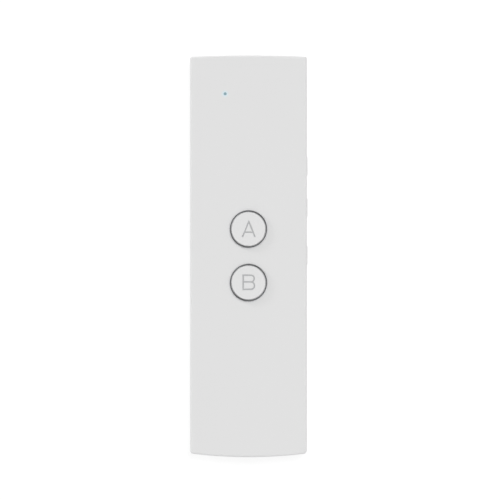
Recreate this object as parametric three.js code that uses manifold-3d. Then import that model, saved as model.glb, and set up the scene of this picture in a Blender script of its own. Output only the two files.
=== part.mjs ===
// A slim handheld translator, lying on its back: two shells that close round a main board,
// a flat battery, a small speaker and five press switches.
// Millimetres. +Z comes out of the front face, +Y runs towards the indicator light,
// +X towards the side keys. The origin is under the middle of the case, on its rear face.
import * as THREE from "three";
import { mergeVertices } from "three/addons/utils/BufferGeometryUtils.js";
import Module from "manifold-3d";

// Case
const caseWidth = 40;
const caseLength = 137.5;
const caseDepth = 10.6;
const wall = 1.5;
const topBow = 0.46; // how far the middle of the top end stands out past its corners
const bottomBow = 1.27;
const topCorner = 0.8;
const bottomCorner = 1.2;
const frontFillet = 0.9;
const rearInset = 5; // how far the curved rear edge comes in
const rearCorner = 4; // corner radius of the flat on the back
const seamGap = 0.2;
const lipThickness = 0.55;
const lipHeight = 1.1;
const lipGap = 0.25;
const overrun = 0.4; // how far a cut or a join reaches past the face that it starts from

// Round keys and their rings
const keyRadius = 5.65;
const keyGap = 0.2;
const keyProud = 0.75;
const keyDish = 0.1;
const keyEdge = 0.25;
const keyTravel = 0.35;
const keyRise = 0.15; // the middle of the pair, above the middle of the case
const ringWidth = 0.6;
const ringProud = 0.7;
const ringSeat = 0.6;
const ringFit = 0.1;
const ringBevel = 0.18;
const ringSpacing = 5.43; // the clear face between the two rings
const flangeOverhang = 1.05;
const flangeThickness = 0.4;
const tabWidth = 1.4;
const tabLength = 0.9;
const tabGap = 0.2;
const tabRib = 0.8;
const pipHeight = 0.2;
const pipRadius = 1.3;

// Side keys, along the right edge
const sideKeyLength = 7;
const sideKeyHeight = 2.2;
const sideKeyProud = 0.3;
const sideKeyGap = 0.2;
const sideKeyFlange = 0.6;
const sideKeyHook = 0.7;
const sideKeyLedge = 1.2; // the strip of the front cover between a side key's slot and the seam
const sideKeyTravel = 0.25;
const sideKeyFromTop = 37.95; // from the top end to the middle of the first key
const volumeKeySpacing = 14.2;
const powerKeySpacing = 16.2;

// Press switches
const switchSize = 4.6;
const switchHeight = 1.4;
const switchCorner = 0.3;
const plungerRadius = 1.1;
const plungerProud = 0.5;
const plungerSunk = 0.15; // how far a plunger reaches into its switch at rest
const plungerGap = 0.1;
const sideSwitchDepth = 3.2;
const sideSwitchLength = 4.4;
const sideSwitchHeight = 1.6;
const sidePlungerLength = 2.2;
const sidePlungerHeight = 0.9;

// Main board
const boardThickness = 0.8;
const boardSideGap = 2;
const boardEndGap = 0.5;
const boardCorner = 1;
const boardHoleGap = 0.4;

// Screws and their bosses
const caseScrewInset = 2.5; // from the edge of the rear flat
const bossRadius = 2.2;
const pilotGap = 0.1;
const pilotEnd = 0.4;
const caseHeadRadius = 1.5;
const caseHeadHeight = 1;
const caseHeadSunk = 0.4;
const caseHeadGap = 0.3;
const caseShankRadius = 0.7;
const caseShankLength = 6.2;
const boardBossRadius = 1.6;
const boardScrewInset = 3; // from the side of the board
const topBoardScrewFromTop = 19.2;
const bottomBoardScrewFromEnd = 20.8;
const boardHeadRadius = 1.3;
const boardHeadHeight = 0.7;
const boardShankRadius = 0.5;
const boardShankLength = 2.6;
const screwTip = 0.4;
const panShare = 0.7; // the flat on top of a screw's head, as a share of the head
const driveWidth = 0.3;
const driveLengthShare = 1.3;
const driveDepthShare = 0.5;

// Indicator light
const lightFromSide = 12;
const lightFromTop = 13.15;
const pipeRadius = 0.45;
const pipeGap = 0.1;
const pipeFlangeRadius = 1.2;
const pipeFlangeHeight = 0.5;
const ledSize = 1.6;
const ledCorner = 0.2;
const ledHeight = 0.7;
const ledGap = 0.3;

// Battery
const padThickness = 0.5;
const padInset = 3;
const batterySideGap = 0.9;
const batteryHeadroom = 0.4;
const batteryCorner = 1.2;
const batteryFromEnd = 26.8;
const batteryBoardLength = 3.4;
const batteryBoardHeight = 1.2;
const batteryBoardInset = 3;
const batteryLeadRun = 10;
const fenceThickness = 1;
const fenceShort = 1.5; // how far a rib stops below the top of the cell
const fenceLength = 6;
const fenceGap = 0.3;
const plugWidth = 5;
const plugLength = 3.6;
const plugHeight = 1.7;
const socketWidth = 6.4;
const socketLength = 4.6;
const socketHeight = 2.2;
const leadRadius = 0.45;
const leadPitch = 2;
const leadGap = 0.2;
const leadStraightShare = 0.15; // how much of a lead runs straight at each of its ends

// Speaker
const speakerFromTop = 12.4; // from the top end to the near side of the speaker
const speakerLength = 14;
const speakerSideGap = 3;
const speakerHeadroom = 0.4;
const speakerCorner = 2;
const speakerWall = 0.9;
const speakerRoof = 0.3;
const diaphragmThickness = 0.2;
const diaphragmSeat = 0.4;
const diaphragmLedge = 0.3;
const domeHeight = 0.3;
const domeInset = 3;
const magnetInset = 2.6;
const magnetGap = 0.2;
const gasketThickness = 0.4;
const gasketWidth = 1.2;
const meshThickness = 0.2;
const grilleHoleRadius = 0.5;
const grillePitch = 2;
const grilleColumns = 7;
const grilleRows = 3;
const speakerLeadRun = 5;
const speakerLeadSpread = 3;

// Microphone
const micFromBoss = 1.1;
const micWidth = 3.8;
const micLength = 3;
const micHeight = 1;
const micFromEnd = 6.6;
const micHoleRadius = 0.4;
const bootWall = 0.7;
const bootGap = 0.1;

// Charging socket
const portWidth = 7.6;
const portHeight = 2.6;
const portLength = 5.2;
const portSheet = 0.3;
const portChamfer = 0.9;
const portRecess = 0.5;
const portGap = 0.2;
const tongueBaseLength = 1.4;
const tongueWidth = 4.4;
const tongueThickness = 0.6;
const tongueShort = 0.8;
const tongueGap = 0.1;

// Chips on the front of the board
const shieldLength = 17;
const shieldHeight = 1.5;
const shieldSheet = 0.2;
const shieldFromTop = 22.6;
const processorSize = 8;
const chipHeight = 0.9;
const chipGap = 1.2;
const chipSpacing = 0.6; // between the processor and the memory
const memoryWidth = 5;
const memoryLength = 6;
const chargerSize = 4;
const chargerFromEnd = 17;
const crystalWidth = 2.5;
const crystalLength = 3.2;
const crystalHeight = 0.8;
const antennaWidth = 9;
const antennaLength = 2.4;
const antennaHeight = 1;
const antennaFromTop = 4.6;

// Roundness
const drumSides = 12;
const holeSides = 8;
const turnSides = 36;
const leadCurve = 3;
const leadSteps = 10;
const plateCurve = 2;
const cornerSteps = 3;
const bowSteps = 6;
const filletSteps = 3;
const rearSteps = 5;

// Heights, from the front to the back
const frontInner = caseDepth - wall;
const ringFloor = caseDepth - ringSeat;
const plungerTop = frontInner - flangeThickness - pipHeight;
const switchTop = plungerTop - plungerProud;
const boardTop = switchTop - switchHeight;
const boardBottom = boardTop - boardThickness;
const sideKeyZ = boardTop + sideSwitchHeight / 2;
const seamHeight = sideKeyZ - sideKeyHeight / 2 - sideKeyGap - sideKeyLedge;
const frontRim = seamHeight + seamGap / 2;
const rearRim = seamHeight - seamGap / 2;
const cellTop = boardBottom - batteryHeadroom;
const cellBottom = wall + padThickness;
const micZ = boardTop + micHeight + micHoleRadius;
const headSeat = caseHeadSunk + caseHeadHeight;

// Widths, from the middle outwards
const halfWidth = caseWidth / 2;
const innerHalf = halfWidth - wall;
const boardHalf = innerHalf - boardSideGap;
const rearFlatHalf = halfWidth - rearInset;
const floorHalf = rearFlatHalf - wall;
const ringInner = keyRadius + keyGap;
const ringOuter = ringInner + ringWidth;
const flangeRadius = ringInner + flangeOverhang;
const sidePlungerTip = innerHalf - sideKeyFlange;
const sideSwitchFace = sidePlungerTip - plungerProud;

// Lengths, from the two ends
const topEnd = caseLength / 2;
const bottomEnd = -caseLength / 2;
const keyY = ringOuter + ringSpacing / 2;
const sideKeyYs = {
  volume_up: topEnd - sideKeyFromTop,
  volume_down: topEnd - sideKeyFromTop - volumeKeySpacing,
  power: topEnd - sideKeyFromTop - volumeKeySpacing - powerKeySpacing,
};
const speakerTop = topEnd - speakerFromTop;
const speakerY = speakerTop - speakerLength / 2;
const speakerBottom = speakerTop - speakerLength;
const socketTop = speakerBottom - speakerLeadRun;
const plugTop = socketTop - socketLength;
const leadTop = plugTop - plugLength;
const batteryBoardTop = leadTop - batteryLeadRun;
const cellEnd = batteryBoardTop - batteryBoardLength;
const cellStart = bottomEnd + batteryFromEnd;
const lightX = -halfWidth + lightFromSide;
const lightY = topEnd - lightFromTop;
const boardScrewX = boardHalf - boardScrewInset;
const caseScrewX = rearFlatHalf - caseScrewInset;
const bootHalf = micWidth / 2 + bootGap + bootWall;
const micX = caseScrewX - bossRadius - micFromBoss - bootHalf;
const caseScrews = [
  [-caseScrewX, topEnd - topBow - rearInset - caseScrewInset],
  [caseScrewX, topEnd - topBow - rearInset - caseScrewInset],
  [-caseScrewX, bottomEnd + bottomBow + rearInset + caseScrewInset],
  [caseScrewX, bottomEnd + bottomBow + rearInset + caseScrewInset],
];
const boardScrews = [
  [-boardScrewX, topEnd - topBoardScrewFromTop],
  [boardScrewX, topEnd - topBoardScrewFromTop],
  [-boardScrewX, bottomEnd + bottomBoardScrewFromEnd],
  [boardScrewX, bottomEnd + bottomBoardScrewFromEnd],
];

const finishes = {
  shell: { color: 0xe3e3e3, roughness: 0.45, metalness: 0 },
  cap: { color: 0xe6e6e6, roughness: 0.35, metalness: 0 },
  chrome: { color: 0xb8babd, roughness: 0.12, metalness: 1 },
  steel: { color: 0x9a9ca0, roughness: 0.35, metalness: 1 },
  clear: { color: 0x6fc4e6, roughness: 0.2, metalness: 0 },
  laminate: { color: 0x1f5a3c, roughness: 0.5, metalness: 0 },
  black: { color: 0x1b1b1d, roughness: 0.6, metalness: 0 },
  foil: { color: 0xa9abb0, roughness: 0.4, metalness: 0.6 },
  foam: { color: 0x2b2b2d, roughness: 0.95, metalness: 0 },
  nylon: { color: 0xe8e4d8, roughness: 0.5, metalness: 0 },
  red: { color: 0xb3241d, roughness: 0.5, metalness: 0 },
  ceramic: { color: 0xd9d2bd, roughness: 0.4, metalness: 0 },
};

const wasm = await Module();
wasm.setup();
const device = new THREE.Group();

// A closed geometry as a solid that can be joined and cut.
function solidOf(geometry) {
  const bare = geometry.index ? geometry.toNonIndexed() : geometry.clone();
  bare.deleteAttribute("normal");
  bare.deleteAttribute("uv");
  const merged = mergeVertices(bare);
  return new wasm.Manifold(
    new wasm.Mesh({
      numProp: 3,
      vertProperties: merged.attributes.position.array,
      triVerts: new Uint32Array(merged.index.array),
    }),
  );
}

// The base with some geometries joined to it, then others cut out of it.
function shaped(base, joined, removed) {
  let solid = solidOf(base);
  for (const geometry of joined) solid = solid.add(solidOf(geometry));
  for (const geometry of removed) solid = solid.subtract(solidOf(geometry));
  const mesh = solid.getMesh();
  const geometry = new THREE.BufferGeometry();
  geometry.setAttribute("position", new THREE.BufferAttribute(mesh.vertProperties, 3));
  geometry.setIndex(new THREE.BufferAttribute(mesh.triVerts, 1));
  const flat = geometry.toNonIndexed();
  flat.computeVertexNormals();
  return flat;
}

function addPiece(name, geometry, finish) {
  const mesh = new THREE.Mesh(geometry, new THREE.MeshStandardMaterial(finishes[finish]));
  mesh.name = name;
  device.add(mesh);
}

// A box between two corners.
function block(x0, x1, y0, y1, z0, z1) {
  const box = new THREE.BoxGeometry(x1 - x0, y1 - y0, z1 - z0);
  return box.translate((x0 + x1) / 2, (y0 + y1) / 2, (z0 + z1) / 2);
}

// A round post along Z.
function post(radius, x, y, z0, z1, sides = drumSides) {
  const drum = new THREE.CylinderGeometry(radius, radius, z1 - z0, sides);
  return drum.rotateX(Math.PI / 2).translate(x, y, (z0 + z1) / 2);
}

function roundedShape(width, length, corner) {
  const x = width / 2 - corner;
  const y = length / 2 - corner;
  const shape = new THREE.Shape();
  shape.absarc(x, y, corner, 0, Math.PI / 2);
  shape.absarc(-x, y, corner, Math.PI / 2, Math.PI);
  shape.absarc(-x, -y, corner, Math.PI, Math.PI * 1.5);
  shape.absarc(x, -y, corner, Math.PI * 1.5, Math.PI * 2);
  return shape;
}

// A flat plate with rounded corners, centred on x and y.
function plate(width, length, corner, x, y, z0, z1) {
  const shape = roundedShape(width, length, corner);
  const options = { depth: z1 - z0, bevelEnabled: false, curveSegments: plateCurve };
  return new THREE.ExtrudeGeometry(shape, options).translate(x, y, z0);
}

// A solid turned about an upright axis, from a profile of [radius, height] pairs.
function turned(profile, x, y, sides) {
  const points = profile.map(([radius, height]) => new THREE.Vector2(radius, height));
  return new THREE.LatheGeometry(points, sides).rotateX(Math.PI / 2).translate(x, y, 0);
}

// A round lead along a smooth path.
function lead(points) {
  const section = new THREE.Shape();
  section.absarc(0, 0, leadRadius, 0, Math.PI * 2);
  const path = new THREE.CatmullRomCurve3(points.map((point) => new THREE.Vector3(...point)));
  const options = { steps: leadSteps, curveSegments: leadCurve, extrudePath: path };
  return new THREE.ExtrudeGeometry(section, options);
}

// Half of the case's outline, round one end from the right side to the left.
function endPoints(bow, corner, inset) {
  const half = halfWidth - inset;
  const fullRadius = (halfWidth ** 2 + bow ** 2) / (2 * bow);
  const radius = fullRadius - inset;
  const middleY = caseLength / 2 - fullRadius;
  const cornerX = half - corner;
  const rise = Math.sqrt((radius - corner) ** 2 - cornerX ** 2);
  const lean = Math.atan2(cornerX, rise);
  const points = [];
  for (let i = 0; i <= cornerSteps; i++) {
    const angle = ((Math.PI / 2 - lean) * i) / cornerSteps;
    points.push([cornerX + corner * Math.cos(angle), middleY + rise + corner * Math.sin(angle)]);
  }
  for (let i = 1; i < bowSteps; i++) {
    const angle = lean - (2 * lean * i) / bowSteps;
    points.push([radius * Math.sin(angle), middleY + radius * Math.cos(angle)]);
  }
  for (let i = 0; i <= cornerSteps; i++) {
    const angle = Math.PI / 2 + lean + ((Math.PI / 2 - lean) * i) / cornerSteps;
    points.push([-cornerX + corner * Math.cos(angle), middleY + rise + corner * Math.sin(angle)]);
  }
  return points;
}

// The case's outline, drawn in by an inset, with its corners eased by an extra radius.
function caseOutline(inset, ease) {
  const top = endPoints(topBow, topCorner + ease, inset);
  const bottom = endPoints(bottomBow, bottomCorner + ease, inset);
  return [...top, ...bottom.map(([x, y]) => [-x, -y])];
}

// A closed solid through a stack of outlines, each { z, inset, ease }.
function stacked(levels) {
  const rings = levels.map(({ z, inset, ease = 0 }) =>
    caseOutline(inset, ease).map(([x, y]) => [x, y, z]),
  );
  const count = rings[0].length;
  const faces = [];
  for (let i = 1; i < count - 1; i++) {
    faces.push(0, i + 1, i);
    const last = (rings.length - 1) * count;
    faces.push(last, last + i, last + i + 1);
  }
  for (let level = 0; level < rings.length - 1; level++) {
    for (let i = 0; i < count; i++) {
      const a = level * count + i;
      const b = level * count + ((i + 1) % count);
      faces.push(a, b, b + count, a, b + count, a + count);
    }
  }
  const geometry = new THREE.BufferGeometry();
  geometry.setAttribute("position", new THREE.Float32BufferAttribute(rings.flat(2), 3));
  return geometry.setIndex(faces);
}

// The levels of the curved rear edge, from a flat up to a rim, for a surface set in by a wall.
function rearLevels(flatZ, rimZ, setIn) {
  const levels = [];
  for (let i = 0; i <= rearSteps; i++) {
    const angle = (Math.PI / 2) * (i / rearSteps);
    const curve = 1 - Math.sin(angle);
    levels.push({
      z: flatZ + (rimZ - flatZ) * (1 - Math.cos(angle)),
      inset: setIn + rearInset * curve,
      ease: (rearCorner - bottomCorner) * curve,
    });
  }
  return levels;
}

// Half the width of the hollow in the rear cover, at a height above the back.
function hollowHalfAt(z) {
  const down = 1 - (z - wall) / (rearRim - wall);
  return innerHalf - rearInset * (1 - Math.sqrt(1 - down ** 2));
}

// A bar with round ends along Y, centred on a height, from one x to another.
function sideBar(length, height, y, z, x0, x1) {
  const shape = roundedShape(height, length, height / 2);
  const options = { depth: x1 - x0, bevelEnabled: false, curveSegments: cornerSteps };
  return new THREE.ExtrudeGeometry(shape, options).rotateY(Math.PI / 2).translate(x0, y, z);
}

// The opening that both covers leave round the charging socket.
function portOpening() {
  const half = portWidth / 2 + portGap;
  const low = boardBottom - portHeight - portGap;
  const inner = bottomEnd + portRecess + portLength;
  return block(-half, half, bottomEnd - overrun, inner, low, boardBottom + portGap);
}

function addFrontCover() {
  const levels = [{ z: frontRim, inset: 0 }];
  for (let i = 0; i <= filletSteps; i++) {
    const angle = (Math.PI / 2) * (i / filletSteps);
    levels.push({
      z: caseDepth - frontFillet * (1 - Math.sin(angle)),
      inset: frontFillet * (1 - Math.cos(angle)),
    });
  }
  const hollow = stacked([
    { z: frontRim - overrun, inset: wall },
    { z: frontInner, inset: wall },
  ]);
  const shell = shaped(stacked(levels), [], [hollow]);
  const lipOuter = stacked([
    { z: frontRim - lipHeight, inset: wall - lipThickness },
    { z: frontRim + overrun, inset: wall - lipThickness },
  ]);
  const lipInner = stacked([
    { z: frontRim - lipHeight - overrun, inset: wall },
    { z: frontRim + 2 * overrun, inset: wall },
  ]);
  const joined = [shaped(lipOuter, [], [lipInner])];
  const removed = [portOpening()];
  for (const [x, y] of caseScrews) {
    const pilotTop = headSeat + caseShankLength + pilotEnd;
    joined.push(post(bossRadius, x, y, frontRim, frontInner + overrun));
    removed.push(post(caseShankRadius + pilotGap, x, y, frontRim - overrun, pilotTop, holeSides));
  }
  for (const [x, y] of boardScrews) {
    const pilotTop = boardBottom + boardShankLength + pilotEnd;
    joined.push(post(boardBossRadius, x, y, boardTop, frontInner + overrun));
    removed.push(post(boardShankRadius + pilotGap, x, y, boardTop - overrun, pilotTop, holeSides));
  }
  for (const y of [keyRise - keyY, keyRise + keyY]) {
    removed.push(ringHole(ringInner, y, frontInner - overrun, caseDepth + overrun));
    removed.push(ringHole(ringOuter + ringFit, y, ringFloor, caseDepth + overrun));
    for (const side of [-1, 1]) {
      const ribY = y + side * (tabWidth / 2 + tabGap + tabRib / 2);
      const ribStart = flangeRadius + tabGap;
      const ribLow = frontInner - flangeThickness - keyTravel;
      joined.push(
        block(ribStart, ribStart + tabLength, ribY - tabRib / 2, ribY + tabRib / 2, ribLow,
          frontInner + overrun),
      );
    }
  }
  for (const y of Object.values(sideKeyYs)) {
    const length = sideKeyLength + 2 * sideKeyGap;
    const height = sideKeyHeight + 2 * sideKeyGap;
    removed.push(sideBar(length, height, y, sideKeyZ, innerHalf - overrun, halfWidth + overrun));
  }
  const hole = pipeRadius + pipeGap;
  removed.push(post(hole, lightX, lightY, frontInner - overrun, caseDepth + overrun));
  removed.push(micHole());
  addPiece("front_cover", shaped(shell, joined, removed), "shell");
}

// A round hole as finely faced as the rings and the round keys.
function ringHole(radius, y, z0, z1) {
  return turned([[0, z0], [radius, z0], [radius, z1], [0, z1]], 0, y, turnSides);
}

// Low ribs on the floor of the rear cover, at both ends of the battery.
function batteryFences() {
  const low = cellStart - fenceGap - fenceThickness;
  const high = batteryBoardTop + fenceGap;
  const ribs = [];
  for (const y of [low, high]) {
    for (const x of [-floorHalf, floorHalf - fenceLength]) {
      ribs.push(block(x, x + fenceLength, y, y + fenceThickness, wall / 2, cellTop - fenceShort));
    }
  }
  return ribs;
}

function grilleHoles() {
  const holes = [];
  for (let column = 0; column < grilleColumns; column++) {
    for (let row = 0; row < grilleRows; row++) {
      const x = (column - (grilleColumns - 1) / 2) * grillePitch;
      const y = speakerY + (row - (grilleRows - 1) / 2) * grillePitch;
      holes.push(post(grilleHoleRadius, x, y, -overrun, wall + overrun, holeSides));
    }
  }
  return holes;
}

function addRearCover() {
  const hollowLevels = rearLevels(wall, rearRim, wall);
  hollowLevels.push({ z: rearRim + overrun, inset: wall });
  const recess = wall - lipThickness - lipGap;
  const lipRoom = stacked([
    { z: frontRim - lipHeight - lipGap, inset: recess },
    { z: rearRim + overrun, inset: recess },
  ]);
  const shell = shaped(stacked(rearLevels(0, rearRim, 0)), [], [stacked(hollowLevels)]);
  const trimmed = shaped(shell, [], [lipRoom, portOpening()]);
  const joined = batteryFences();
  const holes = grilleHoles();
  for (const [x, y] of caseScrews) {
    joined.push(post(bossRadius, x, y, wall / 2, rearRim));
    holes.push(post(caseHeadRadius + caseHeadGap, x, y, -overrun, headSeat));
    holes.push(post(caseShankRadius + pilotGap, x, y, -overrun, rearRim + overrun, holeSides));
  }
  addPiece("rear_cover", shaped(trimmed, joined, holes), "shell");
}

function addRoundKeys() {
  const ringTop = caseDepth + ringProud;
  const keyTop = caseDepth + keyProud;
  const flangeLow = frontInner - flangeThickness;
  const ring = [
    [ringInner, ringFloor],
    [ringOuter, ringFloor],
    [ringOuter, ringTop - ringBevel],
    [ringOuter - ringBevel, ringTop],
    [ringInner + ringBevel, ringTop],
    [ringInner, ringTop - ringBevel],
    [ringInner, ringFloor],
  ];
  const key = [
    [0, plungerTop],
    [pipRadius, plungerTop],
    [pipRadius, flangeLow],
    [flangeRadius, flangeLow],
    [flangeRadius, frontInner],
    [keyRadius, frontInner],
    [keyRadius, keyTop - keyEdge],
    [keyRadius - keyEdge, keyTop],
    [0, keyTop - keyDish],
  ];
  for (const [letter, y] of [["a", keyRise + keyY], ["b", keyRise - keyY]]) {
    const tab = block(flangeRadius - overrun, flangeRadius + tabLength, y - tabWidth / 2,
      y + tabWidth / 2, flangeLow, frontInner);
    addPiece("ring_" + letter, turned(ring, 0, y, turnSides), "chrome");
    addPiece("button_" + letter, shaped(turned(key, 0, y, turnSides), [tab], []), "cap");
    const sunk = switchTop - plungerSunk;
    addPiece("switch_" + letter + "_body",
      shaped(plate(switchSize, switchSize, switchCorner, 0, y, boardTop, switchTop), [], [
        post(plungerRadius + plungerGap, 0, y, sunk - keyTravel - plungerGap, switchTop + overrun),
      ]), "black");
    addPiece("switch_" + letter + "_plunger", post(plungerRadius, 0, y, sunk, plungerTop), "nylon");
  }
}

function addSideKeys() {
  for (const [name, y] of Object.entries(sideKeyYs)) {
    const cap = sideBar(sideKeyLength, sideKeyHeight, y, sideKeyZ, innerHalf - overrun,
      halfWidth + sideKeyProud);
    const hook = sideKeyLength / 2 + sideKeyHook;
    const flange = block(sidePlungerTip, innerHalf, y - hook, y + hook,
      sideKeyZ - sideKeyHeight / 2, sideKeyZ + sideKeyHeight / 2);
    addPiece(name + "_key", shaped(cap, [flange], []), "cap");
    const half = sideSwitchLength / 2;
    const sunk = sideSwitchFace - plungerSunk;
    const plunger = (x0, x1, gap) =>
      block(x0, x1, y - sidePlungerLength / 2 - gap, y + sidePlungerLength / 2 + gap,
        sideKeyZ - sidePlungerHeight / 2 - gap, sideKeyZ + sidePlungerHeight / 2 + gap);
    addPiece("switch_" + name + "_body",
      shaped(
        block(sideSwitchFace - sideSwitchDepth, sideSwitchFace, y - half, y + half, boardTop,
          boardTop + sideSwitchHeight), [], [
          plunger(sunk - sideKeyTravel - plungerGap, sideSwitchFace + overrun, plungerGap),
        ]), "black");
    addPiece("switch_" + name + "_plunger", plunger(sunk, sidePlungerTip, 0), "nylon");
  }
}

function addLight() {
  const ledTop = boardTop + ledHeight;
  const flangeLow = frontInner - pipeFlangeHeight;
  const pipe = [
    [0, ledTop + ledGap],
    [pipeRadius, ledTop + ledGap],
    [pipeRadius, flangeLow],
    [pipeFlangeRadius, flangeLow],
    [pipeFlangeRadius, frontInner],
    [pipeRadius, frontInner],
    [pipeRadius, caseDepth],
    [0, caseDepth],
  ];
  addPiece("light_pipe", turned(pipe, lightX, lightY, drumSides), "clear");
  addPiece("indicator_led",
    plate(ledSize, ledSize, ledCorner, lightX, lightY, boardTop, ledTop), "ceramic");
}

function addBoard() {
  const top = topEnd - topBow - wall - boardEndGap;
  const bottom = bottomEnd + bottomBow + wall + boardEndGap;
  const sheet = plate(2 * boardHalf, top - bottom, boardCorner, 0, (top + bottom) / 2,
    boardBottom, boardTop);
  const holes = caseScrews.map(([x, y]) =>
    post(bossRadius + boardHoleGap, x, y, boardBottom - overrun, boardTop + overrun),
  );
  for (const [x, y] of boardScrews) {
    const radius = boardShankRadius + pilotGap;
    holes.push(post(radius, x, y, boardBottom - overrun, boardTop + overrun, holeSides));
  }
  addPiece("main_board", shaped(sheet, [], holes), "laminate");
}

// A pan-headed screw along Z, its head towards the back, with a crossed drive.
function screw(headRadius, headHeight, shankRadius, shankLength, x, y, seatZ) {
  const low = seatZ - headHeight;
  const profile = [
    [0, low],
    [headRadius * panShare, low],
    [headRadius, seatZ - headHeight / 2],
    [headRadius, seatZ],
    [shankRadius, seatZ],
    [shankRadius, seatZ + shankLength - screwTip],
    [0, seatZ + shankLength],
  ];
  const arm = (headRadius * driveLengthShare) / 2;
  const half = driveWidth / 2;
  const deep = low + headHeight * driveDepthShare;
  return shaped(turned(profile, x, y, drumSides), [], [
    block(x - arm, x + arm, y - half, y + half, low - overrun, deep),
    block(x - half, x + half, y - arm, y + arm, low - overrun, deep),
  ]);
}

function addScrews() {
  caseScrews.forEach(([x, y], index) => {
    addPiece("case_screw_" + (index + 1),
      screw(caseHeadRadius, caseHeadHeight, caseShankRadius, caseShankLength, x, y, headSeat),
      "steel");
  });
  boardScrews.forEach(([x, y], index) => {
    addPiece("board_screw_" + (index + 1),
      screw(boardHeadRadius, boardHeadHeight, boardShankRadius, boardShankLength, x, y,
        boardBottom), "steel");
  });
}

function addBattery() {
  const half = hollowHalfAt(cellBottom) - batterySideGap;
  const middle = (cellStart + cellEnd) / 2;
  const length = cellEnd - cellStart;
  const padHalf = floorHalf - padInset;
  addPiece("battery_pad",
    block(-padHalf, padHalf, cellStart + padInset, cellEnd - padInset, wall, cellBottom), "foam");
  addPiece("battery_cell",
    plate(2 * half, length, batteryCorner, 0, middle, cellBottom, cellTop), "foil");
  const boardZ = (cellBottom + cellTop - batteryBoardHeight) / 2;
  const boardX = half - batteryBoardInset;
  addPiece("battery_board",
    block(-boardX, boardX, cellEnd, batteryBoardTop, boardZ, boardZ + batteryBoardHeight),
    "laminate");
  const socketZ = boardBottom - socketHeight;
  const plugZ = socketZ + (socketHeight - plugHeight) / 2;
  addPiece("battery_socket",
    block(-socketWidth / 2, socketWidth / 2, plugTop, socketTop, socketZ, boardBottom), "nylon");
  addPiece("battery_plug",
    block(-plugWidth / 2, plugWidth / 2, leadTop, plugTop, plugZ, plugZ + plugHeight), "nylon");
  const startZ = boardZ + batteryBoardHeight / 2;
  const endZ = plugZ + plugHeight / 2;
  for (const [name, side] of [["red", -1], ["black", 1]]) {
    const start = batteryBoardTop + leadGap;
    const end = leadTop - leadGap;
    const straight = (end - start) * leadStraightShare;
    const x = (side * leadPitch) / 2;
    addPiece("battery_lead_" + name,
      lead([
        [x, start, startZ],
        [x, start + straight, startZ],
        [x + side * leadPitch, (start + end) / 2, (startZ + endZ) / 2],
        [x, end - straight, endZ],
        [x, end, endZ],
      ]), name);
  }
}

function addSpeaker() {
  const width = 2 * (floorHalf - speakerSideGap);
  const meshTop = wall + meshThickness;
  const frameLow = meshTop + gasketThickness;
  const frameTop = boardBottom - speakerHeadroom;
  const ledgeZ = frameLow + diaphragmSeat;
  const level = (inset, z0, z1) => {
    const length = speakerLength - 2 * inset;
    const corner = (speakerCorner * length) / speakerLength;
    return plate(width - 2 * inset, length, corner, 0, speakerY, z0, z1);
  };
  addPiece("speaker_mesh", level(gasketWidth / 2, wall, meshTop), "foam");
  addPiece("speaker_gasket",
    shaped(level(0, meshTop, frameLow), [], [
      level(gasketWidth, meshTop - overrun, frameLow + overrun),
    ]), "foam");
  addPiece("speaker_frame",
    shaped(level(0, frameLow, frameTop), [], [
      level(speakerWall, frameLow - overrun, frameTop - speakerRoof),
      level(speakerWall - diaphragmLedge, frameLow - overrun, ledgeZ),
    ]), "black");
  const seat = ledgeZ - diaphragmThickness;
  const edge = speakerWall - diaphragmLedge + tongueGap;
  addPiece("speaker_diaphragm",
    shaped(level(edge, seat, ledgeZ), [
      level(edge + domeInset, seat + diaphragmThickness / 2, ledgeZ + domeHeight),
    ], []), "foil");
  const magnetLow = ledgeZ + domeHeight + magnetGap;
  addPiece("speaker_magnet", level(magnetInset, magnetLow, frameTop - speakerRoof), "steel");
  for (const [name, side] of [["red", -1], ["black", 1]]) {
    const x = side * speakerLeadSpread;
    const start = speakerBottom - leadGap;
    const end = speakerBottom - speakerLeadRun / 2;
    const low = frameTop - 2 * leadRadius;
    const straight = (start - end) * leadStraightShare;
    addPiece("speaker_lead_" + name,
      lead([
        [x, start, low],
        [x, start - straight, low],
        [x, end, boardBottom - 2 * leadRadius],
        [x, end, boardBottom - leadGap],
      ]), name);
  }
}

// The sound hole through the bottom end of the front cover.
function micHole() {
  const drum = new THREE.CylinderGeometry(micHoleRadius, micHoleRadius, 2 * wall + bottomBow,
    holeSides);
  return drum.translate(micX, bottomEnd + (wall + bottomBow) / 2, micZ);
}

function addMicrophone() {
  const near = bottomEnd + micFromEnd;
  const far = near + micLength;
  const half = micWidth / 2;
  addPiece("mic_capsule",
    block(micX - half, micX + half, near, far, boardTop, boardTop + micHeight), "steel");
  const bootLow = bottomEnd + bottomBow + wall;
  const tall = frontInner - bootGap;
  const outer = block(micX - bootHalf, micX + bootHalf, bootLow, far + bootWall, boardTop, tall);
  const pocket = block(micX - half - bootGap, micX + half + bootGap, near - bootGap,
    far + bootWall + overrun, boardTop - overrun, boardTop + micHeight + bootGap);
  const channelEnd = (near + far) / 2;
  const channel = block(micX - micHoleRadius, micX + micHoleRadius, bootLow - overrun,
    channelEnd, boardTop + micHeight, micZ + micHoleRadius);
  addPiece("mic_boot", shaped(outer, [], [pocket, channel]), "foam");
}

// The charging socket's outline, centred, with its two lower corners cut off.
function portShape(width, height, chamfer) {
  const x = width / 2;
  const y = height / 2;
  const shape = new THREE.Shape();
  shape.moveTo(-x + chamfer, -y);
  shape.lineTo(x - chamfer, -y);
  shape.lineTo(x, -y + chamfer);
  shape.lineTo(x, y);
  shape.lineTo(-x, y);
  shape.lineTo(-x, -y + chamfer);
  return shape;
}

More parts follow.
